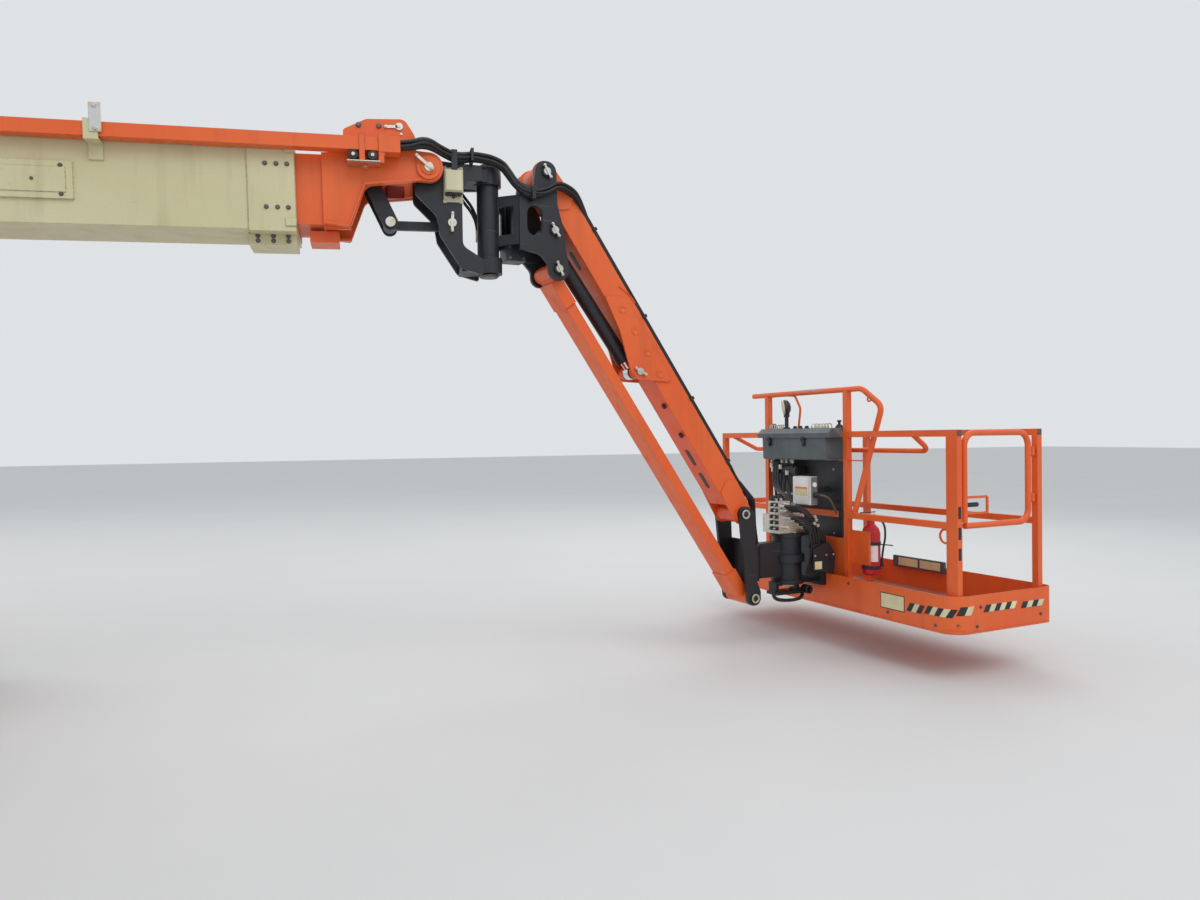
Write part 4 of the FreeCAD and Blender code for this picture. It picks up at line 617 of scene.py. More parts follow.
def dress_nose():
    pins = Piece("lever_pin_ends", "level_lever", NOSE, "zinc_plate")
    link_x, link_z = JOINT_AT["level_link_turn"].x - JOINT_AT["nose_level"].x, JOINT_AT["level_link_turn"].z - JOINT_AT["nose_level"].z
    for face, side in BOTH_SIDES:
        pins.put(disc(0.0285, 0.007, 0.002), (link_x, side * 0.096, link_z), face)
    upright = Piece("upright_pin_ends", "nose_upright", NOSE, "zinc_plate")
    for face, side in BOTH_SIDES:
        pin_head(upright, 0.130, -0.275, 0.1195, face=face)
        keeper(upright, 0.130, -0.272, 0.1195, 0.112, 88, face=face)

    box_plate = Piece("junction_box_plate", "nose_upright", NOSE, "cream_plastic")
    box_plate.put(block(0.104, 0.190, 0.004), (0.137, -0.1185, -0.068), "-y")
    box_plate.put(block(0.092, 0.116, 0.012, 0.005), (0.137, -0.1743, -0.058), "-y")
    for across in (-0.045, 0.045):
        for z in (0.024, -0.160):
            box_plate.put(block(0.020, 0.018, 0.006), (0.137 + across, -0.1185, z), "-y")
            box_plate.bolt((0.137 + across, -0.1245, z), "-y", 0.005)
    box_dark = Piece("junction_box_base", "nose_upright", NOSE, "black_plastic")
    box_dark.put(block(0.090, 0.012, 0.046, 0.003), (0.137, -0.1225, -0.126), "-y")
    box_dark.put(disc(0.009, 0.016), (0.137, -0.146, -0.131), "-z")
    box_dark.put(block(0.033, 0.105, 0.004, 0.001), (0.140, -0.185, 0.052), "-y")
    box_dark.put(block(0.033, 0.090, 0.004, 0.001), (0.140, -0.143, 0.105), "z")

    column = Piece("swing_bearings", "nose_upright", JIB, "zinc_plate", STEEL_DARK)
    column.put(ring(0.070, 0.041, 0.022), (0, 0, -0.534 + 0.089 - 0.0225), "z")
    column.put(turned(((0, -0.014), (0.050, -0.014), (0.058, -0.006), (0.058, 0.0), (0, 0.0))), (0, 0, -0.540), "z")
    column.put(ring(0.074, 0.046, 0.010), (0, 0, 0.056), "z")
    column.put(disc(0.042, 0.008, 0.003), (0, 0, 0.080), "z")
    for i in range(6):
        turn = math.pi * i / 3
        column.bolt((0.060 * math.cos(turn), 0.060 * math.sin(turn), 0.066), "z", 0.006)

    bracket = Piece("swing_bracket_pin_ends", "swing_bracket", JIB, "zinc_plate")
    for x, z, angle, length in ((0.305, 0.048, -60, 0.085), (0.350, -0.282, -60, 0.088), (0.373, -0.501, -66, 0.086)):
        for face, side in BOTH_SIDES:
            pin_head(bracket, x, z, 0.162, 0.022, face)
            keeper(bracket, x, z, 0.162, length, angle, 0.013, face)
    drive = Piece("swing_drive_bolts", "swing_bracket", JIB, "zinc_plate", STEEL_DARK)
    for x in (0.110, 0.190):
        for z in (-0.375, -0.440):
            drive.bolt((x, -0.060, z), "-y", 0.008)


# Hoses: smooth lines in place of the plain CAD ones; a run that crosses a joint is left on no body

HOSE_RADIUS = 0.0105


def dress_hoses():
    lay = ((-0.021, 0.013), (0.0, 0.016), (0.021, 0.012), (-0.019, -0.010), (0.003, -0.012), (0.022, -0.011))
    nose = Piece("nose_hose_bundle", "nose_upright", NOSE, "hose_rubber")
    swing = Piece("swing_hose_bundle", "swing_bracket", JIB, "hose_rubber")
    loop = Piece("jib_hose_loop", "jib_upper_arm", JIB, "hose_rubber")
    run = Piece("jib_hose_run", "jib_upper_arm", ARM, "hose_rubber")
    tail = Piece("jib_hose_tail", "jib_end_bracket", ARM, "hose_rubber")
    for i, (out, up) in enumerate(lay):
        loose = 0.012 * math.sin(2.4 * i)
        radius = HOSE_RADIUS if i % 3 else 0.0085
        nose.tube(((-0.200, -0.247 + out, 0.084 + up), (-0.110, -0.247 + out, 0.090 + up), (-0.010, -0.236 + out, 0.124 + up + loose),
                   (0.090, -0.178 + 1.2 * out, 0.088 + up), (0.170, -0.142 + 1.2 * out, 0.072 + up + loose),
                   (0.250, -0.128 + 1.2 * out, 0.098 + up), (0.344, -0.112 + 1.2 * out, 0.088 + up)), radius)
        swing.tube((NOSE @ Vector((0.344, -0.112 + 1.2 * out, 0.088 + up)), (0.040, -0.126 + out, 0.070 + up),
                    (0.078, -0.146 + out, 0.012 + up), (0.112, -0.166 + 0.8 * out, -0.048 + up), (0.150, -0.176 + 0.6 * out, -0.074 + up + loose)), radius)
        arm_start = ARM @ Vector((0.150, -0.150 + out, 0.070 + up))
        arm_end = ARM @ Vector((0.330, -0.064 + 1.3 * out, 0.108 + 0.5 * up))
        loop.tube(((0.150, -0.176 + 0.6 * out, -0.074 + up + loose), (0.205, -0.182 + 0.6 * out, -0.096 + up + loose),
                   (0.290, -0.178 + 0.6 * out, -0.074 + up), (0.360, -0.172 + out, -0.024 + up),
                   arm_start, ARM @ Vector((0.220, -0.108 + out, 0.112 + 0.5 * up)), arm_end), radius)
        run.tube((arm_end, (0.60, -0.064 + 1.3 * out, 0.108 + 0.5 * up + 0.3 * loose), (1.02, -0.064 + 1.3 * out, 0.108 + 0.5 * up),
                  (1.30, -0.064 + 1.3 * out, 0.108 + 0.5 * up + 0.3 * loose), (1.62, -0.064 + 1.3 * out, 0.108 + 0.5 * up),
                  (1.90, -0.064 + 1.3 * out, 0.108 + 0.5 * up), (2.16, -0.064 + 1.3 * out, 0.108 + 0.5 * up)), radius)
        if i < 3:
            tail.tube(((2.150, -0.064 + 1.3 * out, 0.108 + 0.5 * up), (2.210, -0.064 + 1.2 * out, 0.110),
                       (2.250, -0.064 + 1.1 * out, 0.113), (2.272, -0.064 + 1.1 * out, 0.112)), radius)
    nose.bends = ("boom_fly", "nose_upright", NOSE @ Vector((-0.16, -0.247, 0.09)), NOSE @ Vector((0.10, -0.247, 0.09)))
    swing.bends = ("nose_upright", "swing_bracket", JIB @ Vector((0.0, -0.112, 0.02)), JIB @ Vector((0.10, -0.112, 0.02)))
    loop.bends = ("swing_bracket", "jib_upper_arm", JIB @ Vector((0.20, -0.17, -0.09)), ARM @ Vector((0.22, -0.108, 0.11)))
    tail.bends = ("jib_upper_arm", "jib_end_bracket", ARM @ Vector((2.165, -0.064, 0.11)), ARM @ Vector((2.262, -0.064, 0.11)))
    nose.replaced = ("nose_hoses",)
    swing.replaced = ("swing_hoses",)
    run.replaced = ("jib_hoses",)
    clips = Piece("jib_hose_clips", "jib_upper_arm", ARM, "black_plastic")
    for x in (0.420, 1.020, 1.620, 2.100):
        clips.put(block(0.020, 0.092, 0.008), (x, -0.064, 0.118), "z")
        for across in (-0.042, 0.042):
            clips.put(block(0.020, 0.008, 0.028), (x, -0.064 + across, 0.096), "z")
        clips.bolt((x, -0.064, 0.126), "z", 0.006)
    clip = Piece("nose_hose_clip", "nose_upright", NOSE, "black_paint")
    clip.put(block(0.016, 0.105, 0.006), (0.240, -0.126, 0.058), "z")
    clip.put(block(0.016, 0.105, 0.006), (0.240, -0.126, 0.122), "z")
    for across in (-0.050, 0.050):
        clip.put(block(0.016, 0.006, 0.068), (0.240, -0.126 + across, 0.058), "z")
    clip.put(block(0.016, 0.060, 0.010), (0.240, -0.110, 0.052), "z")
    bridge = Piece("swing_hose_clip", "swing_bracket", JIB, "black_paint")
    bridge.put(block(0.022, 0.072, 0.028), (0.205, -0.150, -0.092), "-y")
    bridge.put(block(0.022, 0.072, 0.005), (0.205, -0.204, -0.092), "-y")
    for z in (-0.125, -0.059):
        bridge.put(block(0.022, 0.006, 0.056), (0.205, -0.150, z), "-y")

    thin = Piece("nose_thin_hoses", "nose_upright", NOSE, "hose_rubber")
    for i in range(2):
        z = -0.075 - 0.035 * i
        thin.tube(((0.175, 0.080, z + 0.06), (0.215, 0.070, z), (0.262, 0.062, z - 0.060), (0.290, 0.060, z - 0.130),
                   (0.292, 0.060, z - 0.200)), 0.009)
    fitting = Piece("nose_hose_fittings", "nose_upright", NOSE, "zinc_plate")
    for i in range(2):
        fitting.put(disc(0.012, 0.030, 0.002, 6), (0.292, 0.060, -0.275 - 0.035 * i), "-z")


# Jib: plug welds, weld beads, keeper bars and pin ends

def dress_jib():
    welds = Piece("upper_arm_welds", "jib_upper_arm", ARM, "orange_paint")
    bolts = Piece("upper_arm_fittings", "jib_upper_arm", ARM, "black_plastic")
    for face, side in BOTH_SIDES:
        for x in (0.903, 1.056, 1.209, 1.365):
            welds.put(ring(0.026, 0.018, 0.003), (x, side * 0.112, 0.000), face)
            welds.put(turned(((0, 0.0006), (0.012, 0.001), (0.018, 0.003), (0.018, 0), (0, 0))), (x, side * 0.112, 0.000), face)
        y = side * 0.1035
        weld_line = ((0.779, y, 0.060), (0.84, y, 0.096), (0.92, y, 0.098))
        welds.tube(weld_line, 0.004, 2)
        welds.tube(((0.135, side * 0.101, 0.093), (0.150, side * 0.101, 0.020), (0.150, side * 0.101, -0.052)), 0.004, 2)
        welds.tube(((2.285, side * 0.101, 0.093), (2.262, side * 0.101, 0.020), (2.285, side * 0.101, -0.052)), 0.004, 2)
    for x in (1.561, 1.780):
        bolts.put(block(0.034, 0.022, 0.020, 0.004), (x, -0.058, -0.055), "-z")
    for x in (0.52, 1.960, 2.140):
        bolts.put(sheet_metal(bar_outline(0.125, 0.042), 0.002), (x, 0.0, -0.055), "-z")

    pins = Piece("rod_pin_ends", "jib_upper_arm", ARM, "zinc_plate")
    for face, side in BOTH_SIDES:
        pin_head(pins, 1.277, -0.112, 0.118, 0.022, face)
        keeper(pins, 1.277, -0.112, 0.118, 0.092, 28, 0.014, face)

    lower = Piece("lower_arm_welds", "jib_lower_arm", LOWER_ARM, "orange_paint")
    for face, side in BOTH_SIDES:
        for x, lean in ((0.222, 1), (2.218, -1)):
            lower.tube(((x, side * 0.081, 0.010), (x + 0.014 * lean, side * 0.082, -0.02), (x, side * 0.081, -0.052)), 0.0035, 2)
    lower.put(block(0.020, 0.150, 0.004), (0.235, 0, 0.010), "z")
    lower.put(block(0.020, 0.150, 0.004), (2.205, 0, 0.010), "z")

    ends = Piece("jib_end_pin_rings", "jib_end_bracket", JIB_END, "zinc_plate")
    dark = Piece("jib_end_pin_caps", "jib_end_bracket", JIB_END, "black_paint")
    for x, z in ((0.0, 0.0), (0.068, -0.549)):
        for face, side in BOTH_SIDES:
            ends.put(ring(0.030, 0.019, 0.007), (x, side * 0.158, z), face)
            dark.put(disc(0.019, 0.003), (x, side * 0.158, z), face)
            dark.put(block(0.034, 0.008, 0.005), (x, side * 0.158, z), face, 0.5)
    rotor = Piece("rotator_bolts", "jib_end_bracket", JIB_END, "zinc_plate", STEEL_DARK)
    for z, face in ((-0.180, "z"), (-0.470, "-z")):
        for i in range(10):
            turn = 2 * math.pi * (i + 0.5) / 10
            rotor.bolt((ROTATOR_REACH + 0.084 * math.cos(turn), 0.084 * math.sin(turn), z + (-0.006 if face == "z" else 0.006)), face, 0.007)


# Platform support: valves, fittings, hoses, step guard and blank plates

def dress_support():
    valves = Piece("manifold_valves", "platform", ROTATOR, "zinc_plate")
    coils = Piece("manifold_coils", "platform", ROTATOR, "black_plastic")
    hoses = Piece("platform_hose_bundle", "platform", ROTATOR, "hose_rubber")
    valves.put(block(0.100, 0.110, 0.090, 0.003), (-0.075, -0.020, -0.0277), "z")
    valves.put(block(0.060, 0.080, 0.055, 0.003), (0.035, -0.025, -0.0277), "z")
    for row, z in enumerate((0.040, 0.002, -0.040, -0.078, -0.118)):
        for column, y in enumerate((-0.062, -0.018)):
            x = -0.125 if z > -0.03 else -0.130
            coils.put(disc(0.013, 0.014 + 0.006 * column, 0.003), (x, y, z), "-x")
            valves.put(disc(0.007, 0.026 + 0.006 * column, 0.002, 6), (x, y, z), "-x")
    for i, (x, z) in enumerate(((-0.075, -0.050), (-0.041, -0.072), (-0.007, -0.094), (0.027, -0.116), (-0.090, -0.110), (0.055, -0.060))):
        valves.put(disc(0.012, 0.020, 0.002, 6), (x, -0.090, z), "-y")
        valves.put(disc(0.0095, 0.034, 0.002), (x, -0.108, z), "-y")
    for x, z in ((-0.105, 0.030), (-0.065, 0.042), (-0.095, 0.000), (-0.050, 0.008)):
        valves.put(disc(0.013, 0.014, 0.002, 6), (x, -0.075, z), "-y")
        valves.put(disc(0.008, 0.030, 0.002), (x, -0.088, z), "-y")
    for x in (-0.10, -0.06, 0.02, 0.048):
        valves.put(disc(0.011, 0.018, 0.002, 6), (x, -0.020, 0.062 if x < 0 else 0.027), "z")
        coils.put(turned(((0, 0), (0.017, 0), (0.017, 0.030), (0.013, 0.036), (0, 0.036))), (x, 0.014, 0.062 if x < 0 else 0.027), "z")
    for i in range(4):
        x, z = -0.070 + 0.034 * i, -0.050 - 0.022 * i
        down_x = 0.141 - 0.021 * i
        hoses.tube(((x, -0.120, z), (x, -0.165, z + 0.004), (x + 0.05, -0.172, z + 0.012), (down_x - 0.02, -0.168, z - 0.035),
                    (down_x + 0.006, -0.164, -0.230), (down_x + 0.004, -0.160, -0.320), (down_x, -0.116, -0.425)), 0.0095)
    for i in range(3):
        y = 0.430 - 0.024 * i
        hoses.tube(((0.236, y, 0.325), (0.205, y - 0.02, 0.190), (0.120, 0.28 - 0.03 * i, 0.120), (0.040 - 0.020 * i, 0.090 - 0.034 * i, 0.105),
                    (0.020 - 0.020 * i, 0.020 - 0.034 * i, 0.080), (0.020 - 0.020 * i, -0.010 - 0.030 * i, 0.020)), 0.010)
    for i in range(4):
        z = 0.030 - 0.012 * i
        hoses.tube(((-0.105 + 0.018 * i, -0.112, z), (-0.080 + 0.02 * i, -0.150, z + 0.006), (0.010, -0.170 - 0.006 * i, z - 0.004),
                    (0.090 + 0.012 * i, -0.172, -0.060 - 0.018 * i), (0.150 + 0.012 * i, -0.166, -0.170), (0.180 + 0.012 * i, -0.150, -0.260),
                    (0.170, -0.120, -0.330)), 0.0085)
    hoses.replaced = ("platform_hoses",)
    clip = Piece("platform_hose_clip", "platform", ROTATOR, "black_paint")
    clip.put(block(0.100, 0.028, 0.006), (0.122, -0.180, -0.240), "-y")
    clip.put(block(0.100, 0.028, 0.006), (0.122, -0.142, -0.240), "-y")
    clip.put(block(0.022, 0.022, 0.060), (0.178, -0.125, -0.240), "-y")
    for x, z in ((0.083, -0.040), (0.093, -0.062), (0.078, -0.085), (0.106, -0.100)):
        valves.put(disc(0.0125, 0.026, 0.002, 6), (x, -0.178, z), "-y", 0.3)
        valves.put(disc(0.014, 0.008, 0.001), (x + 0.012, -0.176, z - 0.012), "z")

    labels = Piece("support_blank_plates", "platform", ROTATOR, "cream_plastic", LABEL_CREAM)
    labels.put(block(0.060, 0.052, 0.0015, 0.0005), (0.100, -0.206, -0.365), "-y")
    labels.put(block(0.090, 0.040, 0.0015, 0.0005), (-0.030, -0.0505, -0.498), "-y")
    guard = Piece("support_step_guard", "platform", ROTATOR, "black_paint")
    guard.tube(((-0.090, -0.040, -0.556), (-0.150, -0.080, -0.545), (-0.185, -0.090, -0.520), (-0.178, -0.090, -0.585),
                (-0.060, -0.100, -0.603), (0.060, -0.100, -0.592), (0.090, -0.045, -0.566)), 0.012)
    guard.put(ring(0.030, 0.016, 0.060), (0.120, -0.030, -0.545), "-y")
    for x in (-0.110, 0.060):
        for z in (-0.535, -0.508):
            guard.bolt((x, -0.040, z), "-y", 0.007)
    flange = Piece("support_flange_bolts", "platform", ROTATOR, "zinc_plate")
    for i in range(8):
        turn = 2 * math.pi * i / 8
        flange.bolt((0.092 * math.cos(turn), 0.092 * math.sin(turn), -0.1517 if abs(math.sin(turn)) > 0.98 else -0.1517), "z", 0.007)
    for x in (0.075, 0.170, 0.230):
        flange.bolt((x, -0.206, -0.300), "-y", 0.006)


# Console: guarded switches, joystick, catches, lamp, outlet box and the cables below

def toggle(metal_piece, dark_piece, at, lean):
    """A toggle switch with its nut and a round-topped guard."""
    metal_piece.put(disc(0.009, 0.004, 0.001, 6), at, "z")
    x, y, z = at
    metal_piece.tube(((x, y, z), (x + 0.003 * lean, y, z + 0.012), (x + 0.006 * lean, y, z + 0.022)), 0.003)
    metal_piece.tube(((x - 0.022, y - 0.016, z), (x - 0.022, y - 0.016, z + 0.026), (x, y - 0.016, z + 0.031),
                      (x + 0.022, y - 0.016, z + 0.026), (x + 0.022, y - 0.016, z)), 0.0032)
    dark_piece.put(disc(0.012, 0.002), at, "z")


def dress_console():
    metal_parts = Piece("console_switches", "platform", PLATFORM, "zinc_plate")
    dark = Piece("console_black_parts", "platform", PLATFORM, "black_plastic")
    grey = Piece("console_mouldings", "platform", PLATFORM, "grey_plastic")
    top = 1.205
    for i in range(6):
        toggle(metal_parts, dark, (-0.050, 0.365 + 0.028 * i, top), 1 if i % 2 else -1)
        toggle(metal_parts, dark, (-0.050, -0.125 + 0.032 * i, top), -1 if i % 2 else 1)
    for y in (0.13, 0.20, 0.26):
        dark.put(turned(((0, 0), (0.016, 0), (0.018, 0.006), (0.012, 0.010), (0.013, 0.018), (0, 0.020))), (-0.020, y, top), "z")
    for y, reach in ((-0.195, 0.052), (0.520, 0.040)):
        dark.put(turned(((0, 0), (0.030, 0), (0.026, 0.008), (0.024, 0.010), (0.018, 0.018), (0.016, 0.020), (0.009, 0.026),
                         (0.009, reach - 0.014), (0.015, reach - 0.010), (0.016, reach - 0.002), (0.010, reach), (0, reach))), (-0.010, y, top), "z")
    for y in (-0.190, 0.510):
        grey.put(block(0.150, 0.006, 0.008), (-0.036, y, 1.000), "z")
    for y in (0.035, 0.415):
        dark.put(block(0.026, 0.062, 0.012, 0.003), (-0.124, y, 1.112), "-x")
        dark.put(block(0.030, 0.020, 0.014, 0.003), (-0.130, y, 1.138), "-x")
        dark.put(block(0.012, 0.024, 0.006, 0.002), (-0.136, y, 1.092), "-x")
    rail = Piece("console_front_bar", "platform", PLATFORM, "orange_paint")
    rail.put(block(0.012, 0.220, 0.008), (-0.006, -0.300, 0.982), "z")

    shell = Piece("lamp_shell", "platform", PLATFORM, "black_plastic")
    head = Matrix.Translation((-0.068, 0.300, 1.360)) @ Matrix.Rotation(math.radians(-32), 4, "Z") @ Matrix.Rotation(math.radians(-8), 4, "Y")
    dome = [(0.054 * math.cos(math.pi * i / 16), 0.014 + 0.034 * math.sin(math.pi * i / 16)) for i in range(8)]
    shell.take(turned([(0, 0), (0.050, 0), (0.054, 0.004)] + dome + [(0, 0.048)]), head @ on_face((-0.014, 0, 0), "x"))
    shell.put(block(0.034, 0.030, 0.030, 0.003), (-0.064, 0.300, 1.287), "z")
    shell.put(disc(0.014, 0.084), (-0.064, 0.300, 1.205), "z")
    shell.put(disc(0.026, 0.010), (-0.064, 0.300, 1.205), "z")
    for i in range(5):
        shell.take(block(0.064 - 0.012 * abs(i - 2), 0.004, 0.008), head @ on_face((0.022, 0, -0.022 + 0.011 * i), "x"))
    shell.replaced = ("console_lamp",)
    lens = Piece("lamp_lens", "platform", PLATFORM, "cream_plastic")
    lens.take(turned(((0, 0), (0.051, 0), (0.054, 0.003), (0.054, 0.010), (0.047, 0.012), (0.045, 0.009), (0.028, 0.015), (0, 0.018))),
              head @ on_face((-0.014, 0, 0), "-x"))

    box_front = Piece("outlet_front", "platform", PLATFORM, "light_box", LABEL_WHITE)
    box_front.put(block(0.164, 0.184, 0.004, 0.002), (-0.2, -0.021, 0.780), "-x")
    box_side = Piece("outlet_sides", "platform", PLATFORM, "grey_plastic", LID_GREY)
    box_side.put(block(0.052, 0.186, 0.002), (-0.156, -0.106, 0.780), "-y")
    box_side.put(block(0.052, 0.186, 0.002), (-0.156, 0.064, 0.780), "y")
    box_front.put(turned(((0, 0), (0.017, 0), (0.017, 0.008), (0.013, 0.012), (0, 0.012))), (-0.158, -0.108, 0.820), "-y")
    dark.put(turned(((0, 0), (0.020, 0), (0.020, 0.020), (0.014, 0.026), (0.012, 0.045), (0, 0.045))), (-0.150, -0.108, 0.752), "-y")
    label = Piece("outlet_blank_label", "platform", PLATFORM, "cream_plastic", LABEL_CREAM)
    label.put(block(0.128, 0.046, 0.001, 0.0003), (-0.204, -0.028, 0.769), "-x")
    band = Piece("outlet_label_band", "platform", PLATFORM, "orange_paint", LABEL_ORANGE)
    band.put(block(0.128, 0.014, 0.001, 0.0003), (-0.204, -0.028, 0.799), "-x")
    cable = Piece("outlet_cable", "platform", PLATFORM, "hose_rubber", CABLE_BROWN)
    cable.tube(((-0.150, -0.145, 0.752), (-0.140, -0.178, 0.752), (-0.100, -0.185, 0.735), (-0.060, -0.180, 0.690), (-0.030, -0.172, 0.640),
                (0.000, -0.165, 0.600), (0.030, -0.160, 0.585)), 0.007)

    cables = Piece("console_cables", "platform", PLATFORM, "hose_rubber")
    bright = Piece("console_cable_glands", "platform", PLATFORM, "light_box")
    for i in range(7):
        y = 0.470 - 0.040 * i
        sway = 0.02 * math.sin(1.9 * i)
        cables.tube(((-0.070 + 0.01 * (i % 3), y, 0.985), (-0.075 + 0.01 * (i % 3), y, 0.930), (-0.060, y - 0.02 + sway, 0.860), (-0.085 + sway, y - 0.05, 0.780),
                     (-0.100, y - 0.09 - sway, 0.690), (-0.130 - sway, 0.20 - 0.03 * i, 0.620), (-0.190, 0.10 - 0.026 * i, 0.600)),
                    0.006 + 0.002 * (i % 2))
        bright.put(disc(0.011, 0.028, 0.002, 6), (-0.070 + 0.01 * (i % 3), y, 0.985), "-z")
        if i % 2:
            bright.put(ring(0.012, 0.007, 0.016), (-0.098, y - 0.075, 0.735), "z")
    for i, (y, z) in enumerate(((0.455, 0.955), (0.440, 0.925), (0.350, 0.945), (0.275, 0.905))):
        bright.put(disc(0.013, 0.034, 0.003, 8), (-0.085, y, z), "-z", 0.4 * i)
    dark.put(block(0.300, 0.060, 0.100, 0.010), (0.020, 0.330, 0.905), "-x")
    dark.put(block(0.660, 0.020, 0.006), (0.020, 0.190, 0.700), "-x")
    for y in (-0.10, 0.48):
        for z in (0.48, 0.66, 0.92):
            metal_parts.bolt((0.020, y, z), "-x", 0.006)


# Platform: blank plates and stripes on the skirt, gate latch, bolts, caps and the extinguisher's fittings

SKIRT_BACK = 0.080
SKIRT_HALF = 1.220
SKIRT_ROUND = 0.120
SKIRT_FRONT = 0.760


def skirt_point(run, z, proud=0.0012):
    """A point on the skirt's outer face, by the distance run along it from where its near corner starts to turn."""
    turn_length = SKIRT_ROUND * math.pi / 2
    if run < 0:
        return Vector((-SKIRT_BACK - proud, -SKIRT_HALF + SKIRT_ROUND - run, z))
    if run < turn_length:
        turn = run / SKIRT_ROUND
        middle_x, middle_y = -SKIRT_BACK + SKIRT_ROUND, -SKIRT_HALF + SKIRT_ROUND
        reach = SKIRT_ROUND + proud
        return Vector((middle_x - reach * math.cos(turn), middle_y - reach * math.sin(turn), z))
    return Vector((-SKIRT_BACK + SKIRT_ROUND + run - turn_length, -SKIRT_HALF - proud, z))


def stripe(piece, start, end, low, high, lean):
    """A slanted patch on the skirt that bends round its corner."""
    steps = 6
    shape = bmesh.new()
    rows = []
    for proud in (0.0, 0.0014):
        for z, shift in ((low, 0.0), (high, lean)):
            rows.append([shape.verts.new(skirt_point(start + (end - start) * i / steps + shift, z, proud)) for i in range(steps + 1)])
    inner_low, inner_high, outer_low, outer_high = rows
    for i in range(steps):
        for first, second in ((outer_low, outer_high), (outer_high, inner_high), (inner_high, inner_low), (inner_low, outer_low)):
            shape.faces.new((first[i], first[i + 1], second[i + 1], second[i]))
    for i in (0, steps):
        shape.faces.new((inner_low[i], outer_low[i], outer_high[i], inner_high[i]))
    bmesh.ops.recalc_face_normals(shape, faces=shape.faces)
    piece.take(shape, Matrix.Identity(4))


